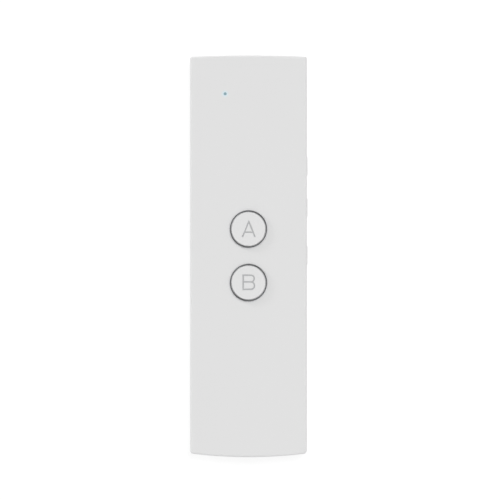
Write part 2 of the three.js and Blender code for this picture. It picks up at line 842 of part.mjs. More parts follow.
function addPort() {
  const mouth = bottomEnd + portRecess;
  const inner = mouth + portLength;
  const z = boardBottom - portHeight / 2;
  const sleeve = (width, height, chamfer, y0, y1) => {
    const options = { depth: y1 - y0, bevelEnabled: false };
    return new THREE.ExtrudeGeometry(portShape(width, height, chamfer), options)
      .rotateX(Math.PI / 2)
      .translate(0, y1, z);
  };
  const innerWidth = portWidth - 2 * portSheet;
  const innerHeight = portHeight - 2 * portSheet;
  addPiece("usb_shell",
    shaped(sleeve(portWidth, portHeight, portChamfer, mouth, inner), [], [
      sleeve(innerWidth, innerHeight, portChamfer, mouth - overrun, inner + overrun),
    ]), "steel");
  const base = sleeve(innerWidth - 2 * tongueGap, innerHeight - 2 * tongueGap, portChamfer,
    inner - tongueBaseLength, inner);
  const tongue = block(-tongueWidth / 2, tongueWidth / 2, mouth + tongueShort,
    inner - tongueBaseLength / 2, z - tongueThickness / 2, z + tongueThickness / 2);
  addPiece("usb_tongue", shaped(base, [tongue], []), "black");
}

function addChips() {
  const chip = (name, width, length, x, y, height, finish) => {
    addPiece(name, block(x - width / 2, x + width / 2, y - length / 2, y + length / 2, boardTop,
      boardTop + height), finish);
  };
  const shieldY = topEnd - shieldFromTop - shieldLength / 2;
  const canX = (processorSize + chipSpacing + memoryWidth) / 2 + chipGap;
  const canY = shieldLength / 2;
  const can = block(-canX, canX, shieldY - canY, shieldY + canY, boardTop,
    boardTop + shieldHeight);
  const inside = block(-canX + shieldSheet, canX - shieldSheet, shieldY - canY + shieldSheet,
    shieldY + canY - shieldSheet, boardTop - overrun, boardTop + shieldHeight - shieldSheet);
  addPiece("radio_shield", shaped(can, [], [inside]), "steel");
  const processorX = -canX + chipGap + processorSize / 2;
  const memoryX = canX - chipGap - memoryWidth / 2;
  chip("processor_chip", processorSize, processorSize, processorX, shieldY, chipHeight, "black");
  chip("memory_chip", memoryWidth, memoryLength, memoryX, shieldY, chipHeight, "black");
  const crystalX = -canX - chipGap - crystalWidth / 2;
  chip("crystal", crystalWidth, crystalLength, crystalX, shieldY, crystalHeight, "foil");
  chip("charger_chip", chargerSize, chargerSize, 0, bottomEnd + chargerFromEnd, chipHeight,
    "black");
  chip("antenna", antennaWidth, antennaLength, 0, topEnd - antennaFromTop - antennaLength / 2,
    antennaHeight, "ceramic");
}

addFrontCover();
addRearCover();
addRoundKeys();
addSideKeys();
addLight();
addBoard();
addScrews();
addBattery();
addSpeaker();
addMicrophone();
addPort();
addChips();

export default device;
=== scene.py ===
# A slim handheld translator lying on its back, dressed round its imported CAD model.
# Lengths are written in millimetres and turned into metres by mm.
import math
from functools import partial

import bmesh
import bpy
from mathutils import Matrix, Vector


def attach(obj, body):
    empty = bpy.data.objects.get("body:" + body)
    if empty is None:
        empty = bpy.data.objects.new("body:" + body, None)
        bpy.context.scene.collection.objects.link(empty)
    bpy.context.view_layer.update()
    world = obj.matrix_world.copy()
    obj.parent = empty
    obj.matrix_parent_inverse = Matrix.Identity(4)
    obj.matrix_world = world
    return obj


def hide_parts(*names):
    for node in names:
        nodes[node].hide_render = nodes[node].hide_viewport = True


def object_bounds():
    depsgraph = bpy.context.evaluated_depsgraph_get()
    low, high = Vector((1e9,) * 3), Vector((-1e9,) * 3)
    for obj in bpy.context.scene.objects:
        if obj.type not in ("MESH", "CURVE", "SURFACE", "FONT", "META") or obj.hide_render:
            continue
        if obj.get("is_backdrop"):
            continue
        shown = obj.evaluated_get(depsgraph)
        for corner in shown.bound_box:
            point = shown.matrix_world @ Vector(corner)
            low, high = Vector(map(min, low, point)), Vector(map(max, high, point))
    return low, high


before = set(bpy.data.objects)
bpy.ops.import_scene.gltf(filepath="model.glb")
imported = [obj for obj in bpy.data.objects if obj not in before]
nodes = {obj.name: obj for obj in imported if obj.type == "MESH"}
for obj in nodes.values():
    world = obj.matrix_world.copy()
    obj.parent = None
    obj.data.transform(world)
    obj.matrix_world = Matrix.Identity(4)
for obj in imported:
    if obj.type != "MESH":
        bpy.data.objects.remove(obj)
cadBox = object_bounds()
mm = 0.001
quarter = math.pi / 2
print("frame loaded:", len(nodes), "nodes")


# Helpers for node trees

def addNode(tree, kind, values=(), **settings):
    node = tree.nodes.new(kind)
    for name, value in settings.items():
        setattr(node, name, value)
    for key, value in dict(values).items():
        if isinstance(value, bpy.types.NodeSocket):
            tree.links.new(value, node.inputs[key])
        else:
            node.inputs[key].default_value = value
    return node


def maths(tree, operation, *values):
    return addNode(tree, "ShaderNodeMath", enumerate(values), operation=operation).outputs[0]


def vector(tree, x=0.0, y=0.0, z=0.0):
    return addNode(tree, "ShaderNodeCombineXYZ", enumerate((x, y, z))).outputs[0]


def moved(tree, geometry, offset):
    values = {"Geometry": geometry, "Offset": offset}
    return addNode(tree, "GeometryNodeSetPosition", values).outputs[0]


# From 0 to final while the value goes from start to end, and level outside that.
def progress(tree, value, start, end, final):
    values = {"Value": value, "From Min": start, "From Max": end, "To Max": final}
    return addNode(tree, "ShaderNodeMapRange", values).outputs[0]


def startTree(name, sizes, places=None):
    tree = bpy.data.node_groups.new(name, "GeometryNodeTree")
    if places:
        tree.interface.new_socket(places, in_out="INPUT", socket_type="NodeSocketGeometry")
    for label, value in sizes.items():
        kind = "NodeSocketInt" if isinstance(value, int) else "NodeSocketFloat"
        tree.interface.new_socket(label, in_out="INPUT", socket_type=kind).default_value = value
    tree.interface.new_socket("Material", in_out="INPUT", socket_type="NodeSocketMaterial")
    tree.interface.new_socket("Geometry", in_out="OUTPUT", socket_type="NodeSocketGeometry")
    return tree, tree.nodes.new("NodeGroupInput").outputs


def endTree(tree, geometry, given):
    plain = addNode(tree, "GeometryNodeRealizeInstances", {"Geometry": geometry}).outputs[0]
    values = {"Geometry": plain, "Material": given["Material"]}
    coloured = addNode(tree, "GeometryNodeSetMaterial", values).outputs[0]
    addNode(tree, "NodeGroupOutput", {"Geometry": coloured})
    return tree


# Helpers for meshes

def settle(piece):
    graph = bpy.context.evaluated_depsgraph_get()
    ready = piece.evaluated_get(graph)
    mesh = bpy.data.meshes.new_from_object(ready, preserve_all_data_layers=True, depsgraph=graph)
    piece.modifiers.clear()
    piece.data = mesh
    mesh.name = piece.name


def newPiece(name, mesh):
    piece = bpy.data.objects.new(name, mesh)
    bpy.context.scene.collection.objects.link(piece)
    return piece


# A plain mesh grown by a geometry tree, at places (x, y, z, turn) where the tree takes them.
def grown(name, tree, sizes, material, places=()):
    mesh = bpy.data.meshes.new(name)
    mesh.from_pydata([Vector(place[:3]) * mm for place in places], [], [])
    if places:
        turns = mesh.attributes.new("turn", "FLOAT", "POINT")
        turns.data.foreach_set("value", [place[3] for place in places])
    piece = newPiece(name, mesh)
    modifier = piece.modifiers.new("growth", "NODES")
    modifier.node_group = tree
    chosen = {**sizes, "Material": material}
    for socket in tree.interface.items_tree:
        if socket.name in chosen:
            modifier[socket.identifier] = chosen[socket.name]
    settle(piece)
    if places:
        piece.data.attributes.remove(piece.data.attributes["turn"])
    return piece


# The corners of a plane outline, each rounded, going round to the left.
def softOutline(corners, radius, steps=6):
    points = []
    for index, corner in enumerate(corners):
        here = Vector(corner)
        before = (Vector(corners[index - 1]) - here).normalized()
        after = (Vector(corners[(index + 1) % len(corners)]) - here).normalized()
        half = before.angle(after) / 2
        middle = here + (before + after).normalized() * radius / math.sin(half)
        start = here + before * radius / math.tan(half) - middle
        sweep = math.pi - 2 * half
        for step in range(steps + 1):
            turn = sweep * step / steps
            x = start.x * math.cos(turn) - start.y * math.sin(turn)
            y = start.x * math.sin(turn) + start.y * math.cos(turn)
            points.append((middle.x + x, middle.y + y))
    return points


def rectangle(width, height, x=0, y=0):
    a = width / 2
    b = height / 2
    return [(x - a, y - b), (x + a, y - b), (x + a, y + b), (x - a, y + b)]


def bar(width, height, radius, x, y):
    most = min(width, height) * 0.499  # just short of a half circle
    return softOutline(rectangle(width, height, x, y), min(radius, most))


def circle(radius, x, y, steps):
    turns = [2 * math.pi * step / steps for step in range(steps)]
    return [(x + radius * math.cos(turn), y + radius * math.sin(turn)) for turn in turns]


# Places an outline's points in millimetres across the x, y or z axis, at a level along it.
def across(axis, outline, level):
    if axis == "x":
        return [Vector((level, u, v)) * mm for u, v in outline]
    if axis == "y":
        return [Vector((v, level, u)) * mm for u, v in outline]
    return [Vector((u, v, level)) * mm for u, v in outline]


# A closed solid through a row of outlines with as many points each.
def lofted(name, rings, material):
    shape = bmesh.new()
    loops = [[shape.verts.new(point) for point in ring] for ring in rings]
    for low, high in zip(loops, loops[1:]):
        for index in range(len(low)):
            other = (index + 1) % len(low)
            shape.faces.new((low[index], low[other], high[other], high[index]))
    shape.faces.new(loops[0])
    shape.faces.new(loops[-1])
    bmesh.ops.recalc_face_normals(shape, faces=shape.faces)
    mesh = bpy.data.meshes.new(name)
    shape.to_mesh(mesh)
    shape.free()
    mesh.materials.append(material)
    return newPiece(name, mesh)


def box(name, low, high, material):
    outline = rectangle(high[0] - low[0], high[1] - low[1], (low[0] + high[0]) / 2,
                        (low[1] + high[1]) / 2)
    return lofted(name, [across("z", outline, low[2]), across("z", outline, high[2])], material)


# A round solid about an upright axis, from a profile of (radius, height) pairs.
def turned(name, profile, x, y, material, steps):
    rings = [across("z", circle(radius, x, y, steps), height) for radius, height in profile]
    return lofted(name, rings, material)


# Points of a quarter turn from one angle, in (radius, height), about a middle.
def easing(radius, height, size, start, end, steps=5):
    points = []
    for step in range(steps + 1):
        turn = math.radians(start + (end - start) * step / steps)
        points.append((radius + size * math.cos(turn), height + size * math.sin(turn)))
    return points


# Joins some solids to a piece and then cuts others out of it.
def carve(piece, joined, removed):
    for operation, tools in (("UNION", joined), ("DIFFERENCE", removed)):
        for tool in tools:
            modifier = piece.modifiers.new(tool.name, "BOOLEAN")
            modifier.operation = operation
            modifier.object = tool
            modifier.solver = "MANIFOLD"
            modifier.material_mode = "TRANSFER"
    settle(piece)
    for tool in [*joined, *removed]:
        bpy.data.objects.remove(tool)


# Smooth shading that keeps flats flat and edges crisp.
def shade(piece, crease=32):
    piece.data.shade_smooth()
    piece.data.set_sharp_from_angle(angle=math.radians(crease))
    modifier = piece.modifiers.new("weighted", "WEIGHTED_NORMAL")
    modifier.keep_sharp = True
    settle(piece)


def finish(piece, body, slot, *replaced):
    shade(piece)
    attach(piece, body)
    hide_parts(*replaced)


# Shader groups

def startGroup(name, inputs, outputs):
    tree = bpy.data.node_groups.new(name, "ShaderNodeTree")
    for label, value in inputs.items():
        kind = "NodeSocketFloat" if isinstance(value, float) else "NodeSocketColor"
        tree.interface.new_socket(label, in_out="INPUT", socket_type=kind).default_value = value
    for label in outputs:
        kind = "NodeSocketColor" if label == "Colour" else "NodeSocketFloat"
        tree.interface.new_socket(label, in_out="OUTPUT", socket_type=kind)
    return tree, tree.nodes.new("NodeGroupInput").outputs


def ownPlace(tree):
    return tree.nodes.new("ShaderNodeTexCoord").outputs["Object"]


def noise(tree, scale, detail=2.0, place=None):
    values = {"Vector": place or ownPlace(tree), "Scale": scale, "Detail": detail}
    return addNode(tree, "ShaderNodeTexNoise", values).outputs["Fac"]


def mixed(tree, share, first, second):
    values = {0: share, 6: first, 7: second}
    return addNode(tree, "ShaderNodeMix", values, data_type="RGBA").outputs[2]


# A colour made a little lighter and darker by a pattern from 0 to 1.
def tinted(tree, colour, pattern, amount):
    swing = maths(tree, "MULTIPLY_ADD", pattern, 2.0, -1.0)
    level = maths(tree, "MULTIPLY_ADD", swing, amount, 1.0)
    return addNode(tree, "ShaderNodeVectorMath", {0: colour, "Scale": level},
                   operation="SCALE").outputs[0]


# The fine skin of a moulded part: tiny grain, a slow drift of tone and of gloss.
def makeMouldedSkin():
    inputs = {"Colour": (0.8, 0.8, 0.8, 1), "Gloss": 0.4, "Grain": 5000.0, "Drift": 0.01}
    tree, given = startGroup("mouldedSkin", inputs, ("Colour", "Roughness", "Height"))
    slow = noise(tree, 38.0, 1.0)
    grain = noise(tree, given["Grain"])
    gloss = maths(tree, "MULTIPLY_ADD", noise(tree, 420.0), 0.08, -0.04)
    values = {
        "Colour": tinted(tree, given["Colour"], slow, given["Drift"]),
        "Roughness": maths(tree, "ADD", given["Gloss"], gloss),
        "Height": grain,
    }
    addNode(tree, "NodeGroupOutput", values)
    return tree


# Worked metal: fine lines drawn out along one axis, and faint cloudiness in the shine.
def makeDrawnMetal():
    inputs = {"Colour": (0.6, 0.6, 0.6, 1), "Gloss": 0.2, "Lines": 3000.0, "Cloud": 0.04}
    tree, given = startGroup("drawnMetal", inputs, ("Colour", "Roughness", "Height"))
    stretch = {"Vector": ownPlace(tree), "Scale": (1.0, 0.06, 1.0)}
    stretched = addNode(tree, "ShaderNodeMapping", stretch)
    lines = noise(tree, given["Lines"], 3.0, stretched.outputs[0])
    cloud = noise(tree, 260.0)
    values = {
        "Colour": tinted(tree, given["Colour"], cloud, given["Cloud"]),
        "Roughness": maths(tree, "MULTIPLY_ADD", cloud, 0.1, given["Gloss"]),
        "Height": lines,
    }
    addNode(tree, "NodeGroupOutput", values)
    return tree


mouldedSkin = makeMouldedSkin()
drawnMetal = makeDrawnMetal()


def newMaterial(name, shaderValues=()):
    material = bpy.data.materials.new(name)
    material.use_nodes = True
    tree = material.node_tree
    shader = tree.nodes["Principled BSDF"]
    for label, value in dict(shaderValues).items():
        shader.inputs[label].default_value = value
    return material, tree, shader


# A linear colour from levels as a picture has them, 0 to 255.
def rgb(red, green, blue):
    levels = []
    for value in (red, green, blue):
        share = value / 255
        levels.append(share / 12.92 if share < 0.04045 else ((share + 0.055) / 1.055) ** 2.4)
    return (*levels, 1.0)


def emboss(tree, shader, height, strength, depth):
    values = {"Strength": strength, "Distance": depth * mm, "Height": height}
    tree.links.new(addNode(tree, "ShaderNodeBump", values).outputs[0], shader.inputs["Normal"])


# Feeds a shader from a group's colour, roughness and height.
def dress(tree, shader, group, values, bump):
    skin = addNode(tree, "ShaderNodeGroup", node_tree=group)
    for label, value in values.items():
        skin.inputs[label].default_value = value
    tree.links.new(skin.outputs["Colour"], shader.inputs["Base Color"])
    tree.links.new(skin.outputs["Roughness"], shader.inputs["Roughness"])
    emboss(tree, shader, skin.outputs["Height"], bump, 0.02)


def plastic(name, colour, gloss, grain=5000.0, drift=0.01, bump=0.15):
    material, tree, shader = newMaterial(name)
    values = {"Colour": rgb(*colour), "Gloss": gloss, "Grain": grain, "Drift": drift}
    dress(tree, shader, mouldedSkin, values, bump)
    return material


def metal(name, colour, gloss, lines=3000.0, cloud=0.04, bump=0.1):
    material, tree, shader = newMaterial(name, {"Metallic": 1.0})
    values = {"Colour": rgb(*colour), "Gloss": gloss, "Lines": lines, "Cloud": cloud}
    dress(tree, shader, drawnMetal, values, bump)
    return material


laminate = {
    "lacquer": (26, 84, 52),
    "runs": (52, 118, 76),
    "pads": (205, 170, 96),
    "runScale": 300.0,
    "regions": (90.0, 70.0),
    "padScale": 340.0,
    "padSize": 0.14,
}


# The board's lacquer over copper runs, which go along or across by the region, and small pads.
def makeBoardLaminate():
    material, tree, shader = newMaterial("boardLaminate", {"Roughness": 0.35})
    along = ownPlace(tree)
    spun = addNode(tree, "ShaderNodeMapping", {"Vector": along, "Rotation": (0, 0, quarter)})
    runs = []
    for place, region in zip((along, spun.outputs[0]), laminate["regions"]):
        rows = addNode(tree, "ShaderNodeTexBrick", {
            "Vector": place,
            "Scale": laminate["runScale"],
            "Mortar Size": 0.1,
            "Brick Width": 4.0,
            "Row Height": 0.3,
        }, offset=0.37)
        covered = maths(tree, "GREATER_THAN", noise(tree, region, 1.0, place), 0.53)
        runs.append(maths(tree, "MULTIPLY", rows.outputs["Fac"], covered))
    copper = maths(tree, "MAXIMUM", *runs)
    lacquer = mixed(tree, copper, rgb(*laminate["lacquer"]), rgb(*laminate["runs"]))
    values = {"Vector": along, "Scale": laminate["padScale"]}
    spots = addNode(tree, "ShaderNodeTexVoronoi", values).outputs["Distance"]
    pads = maths(tree, "LESS_THAN", spots, laminate["padSize"])
    colour = mixed(tree, pads, lacquer, rgb(*laminate["pads"]))
    tree.links.new(colour, shader.inputs["Base Color"])
    emboss(tree, shader, copper, 0.4, 0.03)
    return material


# Cells of foam, or the open weave of a cloth where they are set out in rows, with no disorder.
def makeFoam(name, colour, scale, disorder):
    material, tree, shader = newMaterial(name, {"Roughness": 0.95})
    values = {"Vector": ownPlace(tree), "Scale": scale, "Randomness": disorder}
    cells = addNode(tree, "ShaderNodeTexVoronoi", values).outputs["Distance"]
    # The middle of each cell is painted darker, as painted shade in its pit, and the same mask also
    # raises the bump.
    level = progress(tree, cells, 0.1, 0.6, 1.0)
    pitShade = rgb(*[value * 0.35 for value in colour])
    tree.links.new(mixed(tree, level, pitShade, rgb(*colour)), shader.inputs["Base Color"])
    emboss(tree, shader, level, 0.8, 0.08)
    return material


lightPlace = (-8.0, 55.6)


# How near the indicator a point is: one inside the first radius, and none beyond the second.
def makeNearLight():
    inputs = {"Inner": 0.4 * mm, "Outer": 0.6 * mm}
    tree, given = startGroup("nearLight", inputs, ("Level",))
    values = {0: ownPlace(tree), 1: Vector((*lightPlace, 10.6)) * mm}
    reach = addNode(tree, "ShaderNodeVectorMath", values, operation="DISTANCE").outputs["Value"]
    level = progress(tree, reach, given["Outer"], given["Inner"], 1.0)
    addNode(tree, "NodeGroupOutput", {"Level": level})
    return tree


nearLight = makeNearLight()


def lightLevel(tree, inner, outer):
    values = {"Inner": inner * mm, "Outer": outer * mm}
    return addNode(tree, "ShaderNodeGroup", values, node_tree=nearLight).outputs[0]


# The shell's plastic, a little tinted where the indicator's light spreads into it.
def makePalePlastic():
    material = plastic("palePlastic", (229, 229, 229), 0.42, drift=0.006, bump=0.12)
    tree = material.node_tree
    shader = tree.nodes["Principled BSDF"]
    skin = shader.inputs["Base Color"].links[0].from_socket
    colour = mixed(tree, lightLevel(tree, 0.5, 1.4), skin, rgb(219, 236, 243))
    tree.links.new(colour, shader.inputs["Base Color"])
    return material


# Bare foil, as on the battery's pouch.
def foil(name):
    return metal(name, (190, 192, 197), 0.34, lines=700.0, cloud=0.08, bump=0.5)


palePlastic = makePalePlastic()
keyPlastic = plastic("keyPlastic", (230, 230, 230), 0.34, grain=6500.0, drift=0.005, bump=0.06)
letterInk = plastic("letterInk", (191, 192, 193), 0.6, drift=0.03)
blackResin = plastic("blackResin", (30, 30, 32), 0.5, drift=0.12)
naturalNylon = plastic("naturalNylon", (232, 228, 214), 0.45, drift=0.03)
redSleeve = plastic("redSleeve", (176, 36, 30), 0.4, drift=0.06)
blackSleeve = plastic("blackSleeve", (28, 28, 30), 0.4, drift=0.1)
paleCeramic = plastic("paleCeramic", (217, 210, 190), 0.35, grain=7000.0, drift=0.04)
tanCeramic = plastic("tanCeramic", (184, 150, 112), 0.4, grain=7000.0, drift=0.06)
polishedRing = metal("polishedRing", (243, 244, 246), 0.05, lines=5000.0, cloud=0.04, bump=0.03)
nickelSteel = metal("nickelSteel", (190, 192, 196), 0.38)
cellFoil = foil("cellFoil")
goldContact = metal("goldContact", (226, 184, 96), 0.22)
boardLaminate = makeBoardLaminate()
darkFoam = makeFoam("darkFoam", (58, 58, 60), 2600.0, 1.0)
speakerCloth = makeFoam("speakerCloth", (70, 70, 73), 4200.0, 0.0)
print("materials made")


# Geometry node trees

caseSizes = {
    "Width": 40.0 * mm,
    "Length": 137.5 * mm,
    "Top Bow": 0.46 * mm,
    "Bottom Bow": 1.27 * mm,
    "Top Corner": 0.8 * mm,
    "Bottom Corner": 1.2 * mm,
    "Set In": 0.0,
    "Flat Height": 0.0,
    "Flat Margin": 0.4 * mm,
    "Rim Height": 4.8 * mm,
    "Rim Round": 0.12 * mm,
    "Edge Inset": 5.0 * mm,
    "Edge Rise": 4.68 * mm,
    "Edge Ease": 2.8 * mm,
    "Facing": 1.0,
    "Corner Steps": 8,
    "End Steps": 24,
    "Edge Steps": 14,
    "Rim Steps": 3,
}


# A closed block with the case's outline, bowed at both ends. Its flat meets its side in an eased
# edge, and Facing tells whether the side goes up or down from the flat.
def makeCaseBlock():
    tree, given = startTree("caseBlock", caseSizes)
    calc = partial(maths, tree)

    def between(first, last, share):
        return calc("MULTIPLY_ADD", share, calc("SUBTRACT", last, first), first)

    corners = given["Corner Steps"]
    ends = given["End Steps"]
    edges = calc("ADD", given["Edge Steps"], 1.0)
    endCount = calc("ADD", calc("MULTIPLY_ADD", corners, 2.0, ends), 1.0)
    around = calc("MULTIPLY", endCount, 2.0)
    rimStart = calc("ADD", edges, 1.0)
    levels = calc("ADD", rimStart, given["Rim Steps"])
    drum = addNode(tree, "GeometryNodeMeshCylinder", {"Vertices": around, "Side Segments": levels,
                                                      "Radius": 1.0, "Depth": levels})
    place = tree.nodes.new("GeometryNodeInputPosition").outputs[0]
    x, y, z = addNode(tree, "ShaderNodeSeparateXYZ", {0: place}).outputs
    level = calc("MULTIPLY_ADD", z, given["Facing"], calc("DIVIDE", levels, 2.0))
    turn = calc("MULTIPLY", calc("ARCTAN2", y, x), calc("DIVIDE", around, 2 * math.pi))
    column = calc("FLOORED_MODULO", calc("ROUND", turn), around)
    lower = calc("GREATER_THAN", column, calc("SUBTRACT", endCount, 0.5))
    step = calc("SUBTRACT", column, calc("MULTIPLY", lower, endCount))

    # How far this level is in from the outline, and how high it is.
    edgeTurn = progress(tree, level, 1.0, edges, quarter)
    rimTurn = progress(tree, level, rimStart, levels, quarter)
    curve = calc("SUBTRACT", 1.0, calc("SINE", edgeTurn))
    margin = calc("MULTIPLY", calc("LESS_THAN", level, 0.5), given["Flat Margin"])
    rimIn = calc("MULTIPLY", given["Rim Round"], calc("SUBTRACT", 1.0, calc("COSINE", rimTurn)))
    edgeIn = calc("MULTIPLY_ADD", given["Edge Inset"], curve, given["Set In"])
    inset = calc("ADD", calc("ADD", edgeIn, margin), rimIn)
    rise = calc("MULTIPLY", given["Edge Rise"], calc("SUBTRACT", 1.0, calc("COSINE", edgeTurn)))
    flatZ = calc("MULTIPLY_ADD", given["Facing"], rise, given["Flat Height"])
    rimRise = calc("SUBTRACT", calc("SINE", rimTurn), 1.0)
    rimZ = calc("MULTIPLY_ADD", calc("MULTIPLY", given["Rim Round"], given["Facing"]), rimRise,
                given["Rim Height"])
    height = between(flatZ, rimZ, calc("GREATER_THAN", level, calc("ADD", edges, 0.5)))

    # The outline: a corner, a shallow arc across the end, and the other corner.
    ease = calc("MULTIPLY", given["Edge Ease"], curve)
    corner = calc("ADD", between(given["Top Corner"], given["Bottom Corner"], lower), ease)
    bow = between(given["Top Bow"], given["Bottom Bow"], lower)
    halfWidth = calc("DIVIDE", given["Width"], 2.0)
    squares = calc("MULTIPLY_ADD", bow, bow, calc("MULTIPLY", halfWidth, halfWidth))
    reach = calc("DIVIDE", squares, calc("MULTIPLY", bow, 2.0))
    radius = calc("SUBTRACT", reach, inset)
    middleY = calc("SUBTRACT", calc("DIVIDE", given["Length"], 2.0), reach)
    cornerX = calc("SUBTRACT", calc("SUBTRACT", halfWidth, inset), corner)
    slant = calc("SUBTRACT", radius, corner)
    upright = calc("SQRT", calc("SUBTRACT", calc("MULTIPLY", slant, slant),
                                calc("MULTIPLY", cornerX, cornerX)))
    lean = calc("ARCTAN2", cornerX, upright)
    bend = calc("SUBTRACT", quarter, lean)
    last = calc("ADD", corners, ends)
    firstBend = progress(tree, step, 0.0, corners, bend)
    sweep = progress(tree, step, corners, last, calc("MULTIPLY", lean, 2.0))
    lastBend = progress(tree, step, last, calc("ADD", last, corners), bend)
    angle = calc("ADD", calc("ADD", firstBend, sweep), lastBend)
    halfEnds = calc("DIVIDE", ends, 2.0)
    off = calc("ABSOLUTE", calc("SUBTRACT", calc("SUBTRACT", step, corners), halfEnds))
    onCorner = calc("GREATER_THAN", off, calc("ADD", halfEnds, 0.5))
    size = between(radius, corner, onCorner)
    cosine = calc("COSINE", angle)
    centreX = calc("MULTIPLY", calc("MULTIPLY", calc("SIGN", cosine), cornerX), onCorner)
    centreY = calc("MULTIPLY_ADD", upright, onCorner, middleY)
    way = between(1.0, -1.0, lower)
    outX = calc("MULTIPLY", way, calc("MULTIPLY_ADD", size, cosine, centreX))
    outY = calc("MULTIPLY", way, calc("MULTIPLY_ADD", size, calc("SINE", angle), centreY))
    values = {"Geometry": drum.outputs["Mesh"], "Position": vector(tree, outX, outY, height)}
    shaped = addNode(tree, "GeometryNodeSetPosition", values).outputs[0]
    return endTree(tree, shaped, given)


gridSizes = {
    "Columns": 1,
    "Rows": 1,
    "Column Pitch": 2.0 * mm,
    "Row Pitch": 2.0 * mm,
    "Middle X": 0.0,
    "Middle Y": 0.0,
}


# Sets a solid out in columns and rows.
def spread(tree, given, solid):
    def reach(count, pitch):
        return maths(tree, "MULTIPLY", maths(tree, "SUBTRACT", given[count], 1.0), given[pitch])

    grid = addNode(tree, "GeometryNodeMeshGrid", {
        "Size X": reach("Columns", "Column Pitch"),
        "Size Y": reach("Rows", "Row Pitch"),
        "Vertices X": given["Columns"],
        "Vertices Y": given["Rows"],
    })
    centre = vector(tree, given["Middle X"], given["Middle Y"])
    values = {"Points": moved(tree, grid.outputs["Mesh"], centre), "Instance": solid}
    return addNode(tree, "GeometryNodeInstanceOnPoints", values).outputs[0]


# A round solid about the upright axis, with a height and a radius for each of its levels.
def spindle(tree, levels, sides, height, radius):
    line = addNode(tree, "GeometryNodeCurvePrimitiveLine", {"End": (0, 0, 1)}).outputs[0]
    divided = addNode(tree, "GeometryNodeResampleCurve", {"Curve": line, "Count": levels})
    values = {"Geometry": divided.outputs[0], "Position": vector(tree, z=height)}
    axis = addNode(tree, "GeometryNodeSetPosition", values)
    values = {"Resolution": sides, "Radius": 1.0}
    rim = addNode(tree, "GeometryNodeCurvePrimitiveCircle", values)
    return addNode(tree, "GeometryNodeCurveToMesh", {
        "Curve": axis.outputs[0],
        "Profile Curve": rim.outputs[0],
        "Scale": radius,
        "Fill Caps": True,
    }).outputs[0]


drillSizes = {
    **gridSizes,
    "Radius": 0.5 * mm,
    "Flare": 0.12 * mm,
    "Surface": 0.0,
    "Depth": 2.0 * mm,
    "Facing": 1.0,
    "Sides": 28,
    "Flare Steps": 4,
}


# Cutters for round holes whose mouths are eased where they break the surface.
def makeDrills():
    tree, given = startTree("drills", drillSizes)
    calc = partial(maths, tree)
    index = tree.nodes.new("GeometryNodeInputIndex").outputs[0]
    last = calc("ADD", given["Flare Steps"], 1.0)
    turn = progress(tree, index, 1.0, last, quarter)
    flare = given["Flare"]
    inward = calc("MULTIPLY", flare, calc("SUBTRACT", 1.0, calc("COSINE", turn)))
    deep = calc("MULTIPLY", calc("GREATER_THAN", index, calc("ADD", last, 0.5)),
                calc("SUBTRACT", given["Depth"], flare))
    before = calc("MULTIPLY", calc("LESS_THAN", index, 0.5), -0.3 * mm)
    along = calc("ADD", calc("ADD", inward, deep), before)
    height = calc("MULTIPLY_ADD", along, given["Facing"], given["Surface"])
    opening = calc("MULTIPLY", flare, calc("SUBTRACT", 1.0, calc("SINE", turn)))
    radius = calc("ADD", given["Radius"], opening)
    drill = spindle(tree, calc("ADD", last, 2.0), given["Sides"], height, radius)
    return endTree(tree, spread(tree, given, drill), given)


screwSizes = {
    **gridSizes,
    "Head Low": 0.4 * mm,
    "Head Height": 1.0 * mm,
    "Head Radius": 1.5 * mm,
    "Shank Radius": 0.7 * mm,
    "Shank Length": 6.2 * mm,
    "Thread Depth": 0.12 * mm,
    "Drive Width": 0.34 * mm,
    "Drive Length": 1.9 * mm,
    "Drive Depth": 0.55 * mm,
    "Pan Share": 0.6,
    "Tip Share": 0.57,
    "Sides": 28,
    "Head Steps": 5,
    "Thread Levels": 22,
}


